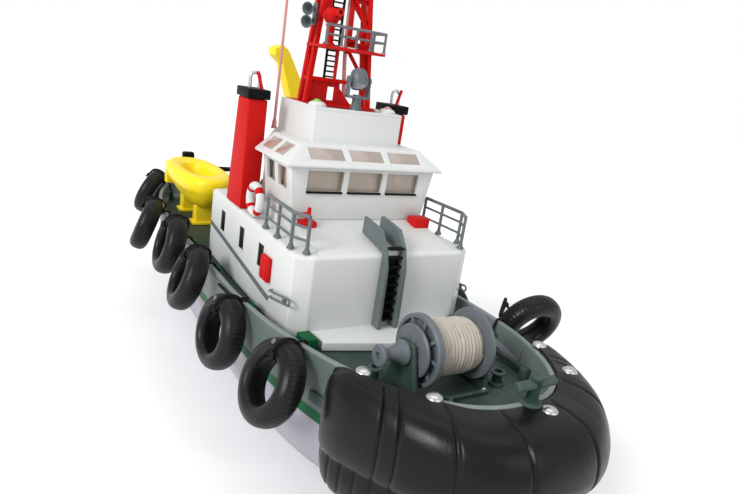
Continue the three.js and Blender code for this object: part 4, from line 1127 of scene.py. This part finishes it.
def plan(half, width, shift):
    """The rescue boat's outline, from its half length and half width."""
    ring = []
    for i in range(PLAN_STEPS):
        angle = 2 * pi * (i + 0.5) / PLAN_STEPS
        ring.append((CX + shift + power(cos(angle), 0.8) * half, CY + power(sin(angle), 0.8) * width))
    return ring


dinghy = Shape()
# Half length, half width, shift towards the bow and height: outside, over the tube, into the well.
levels = [(17, 5, 8, 102.4), (19, 6.5, 8, 102.6), (29, 10, 6, 104), (40, 14, 4, 107.5), (48, 17.5, 2, 112),
          (53, 20, 0.8, 116), (55.6, 21.5, 0.3, 119), (57.2, 24.3, 0, 121.6), (58.7, 25.8, 0, 124.6),
          (59, 26, 0, 128), (58.7, 25.7, 0, 131.4), (57.4, 24.2, 0, 134.2), (55.3, 22, 0, 135.8),
          (52.5, 19.8, 0, 136.2), (44, 17, 0, 136), (36, 15.2, 0, 135.4), (32.4, 13.8, 0, 134.2),
          (30.6, 12.4, 0, 131), (29, 11.5, 0, 126), (28, 10.8, 0, 122.4)]
dinghy.rows([[(x, y, z) for x, y in plan(h, w, s)] for h, w, s, z in levels])
dinghy.block(CX - 24, CX + 20, CY - 1.5, CY + 1.5, 122, 124.4, 0.5)
dinghy.block(CX - 4, CX + 4, CY - 11.5, CY + 11.5, 125.5, 128, 0.9)
dinghy.block(-225, -216, -65, -56, 108, 131, 1.6, segments=3)
for x in (-24, 24):
    dinghy.block(CX + x - 6, CX + x + 6, CY - 9, CY + 9, DECK_Z + 0.3, 107, 0.8)
    dinghy.block(CX + x - 8, CX + x + 8, CY - 12, CY + 12, DECK_Z + 0.3, DECK_Z + 3, 0.6)
make("rescue_boat_hull", dinghy, ["yellow"], ["rescue_boat"], angle=30)

outboard = Shape()
outboard.block(-234, -225.5, -46, -34, 124, 140, 2.2, segments=3)
outboard.block(-231.5, -227, -42.5, -37.5, 98, 126, 0.9)
make("rescue_boat_outboard", outboard, ["black"])

# ---- Running gear ----
for side_name, side in SIDES:
    y = 28 * side
    screw = Shape()
    screw.turned([(CLOSE, -7.2), (1.4, -6.9), (2.5, -5.6), (3.4, -2.5), (4, 1), (4, 4), (2.2, 4), (2.2, 3.6)],
                 (-216, y, 20), (1, 0, 0), 24)
    for spin in circle(3):
        rows = []
        for j in range(9):
            r = 3 + 10 * j / 8
            width = 1.4 + 4.0 * sin(pi * min(1, (j + 0.6) / 9)) ** 0.8
            pitch_angle = atan2(5.2, r) * side
            row = []
            for t in circle(12):
                across, thick = width * cos(t), (0.75 - 0.05 * j) * sin(t)
                along_x = across * sin(pitch_angle) + thick * cos(pitch_angle)
                tangent = across * cos(pitch_angle) - thick * sin(pitch_angle)
                radial = sqrt(max(0.01, r * r - tangent * tangent)) if r > abs(tangent) else r
                row.append((-216 + along_x, y + radial * cos(spin) - tangent * sin(spin),
                            20 + radial * sin(spin) + tangent * cos(spin)))
            rows.append(row)
        screw.rows(rows)
    node = f"propeller_{side_name}"
    make(f"{node}_blades", screw, ["brass"], [node], node)

# CAD nodes whose shape stays, and the material that each gets.
CARRIED = {"main_deck": "deck", "window_glazing": "glass", "battery_pack": "battery",
           "receiver_board": "board", "motor_port": "silver", "motor_starboard": "silver",
           "shaft_port": "steel", "shaft_starboard": "steel"}
for node, finish in CARRIED.items():
    data = frame["nodes"][node].data
    data.materials.clear()
    data.materials.append(M[finish])

# ---- Floor ----
ground = bpy.data.meshes.new("floor")
# Its half width and height, in metres: just below the keel.
FLOOR_HALF, FLOOR_Z = 9, -0.0003
ground.from_pydata([(x * FLOOR_HALF, y * FLOOR_HALF, FLOOR_Z) for x, y in ((-1, -1), (1, -1), (1, 1), (-1, 1))],
                   [], [(0, 1, 2, 3)])
pale = material("pale_floor", (0.975, 0.975, 0.975), 0.85, vary=0.006, patch=3, grain=300,
                bump=0.02, specular=0.1)
glow = pale.node_tree.nodes["Principled BSDF"].inputs
glow["Emission Color"].default_value = (1, 1, 1, 1)
glow["Emission Strength"].default_value = 0.06
ground.materials.append(pale)
floor = bpy.data.objects.new("floor", ground)
scene.collection.objects.link(floor)
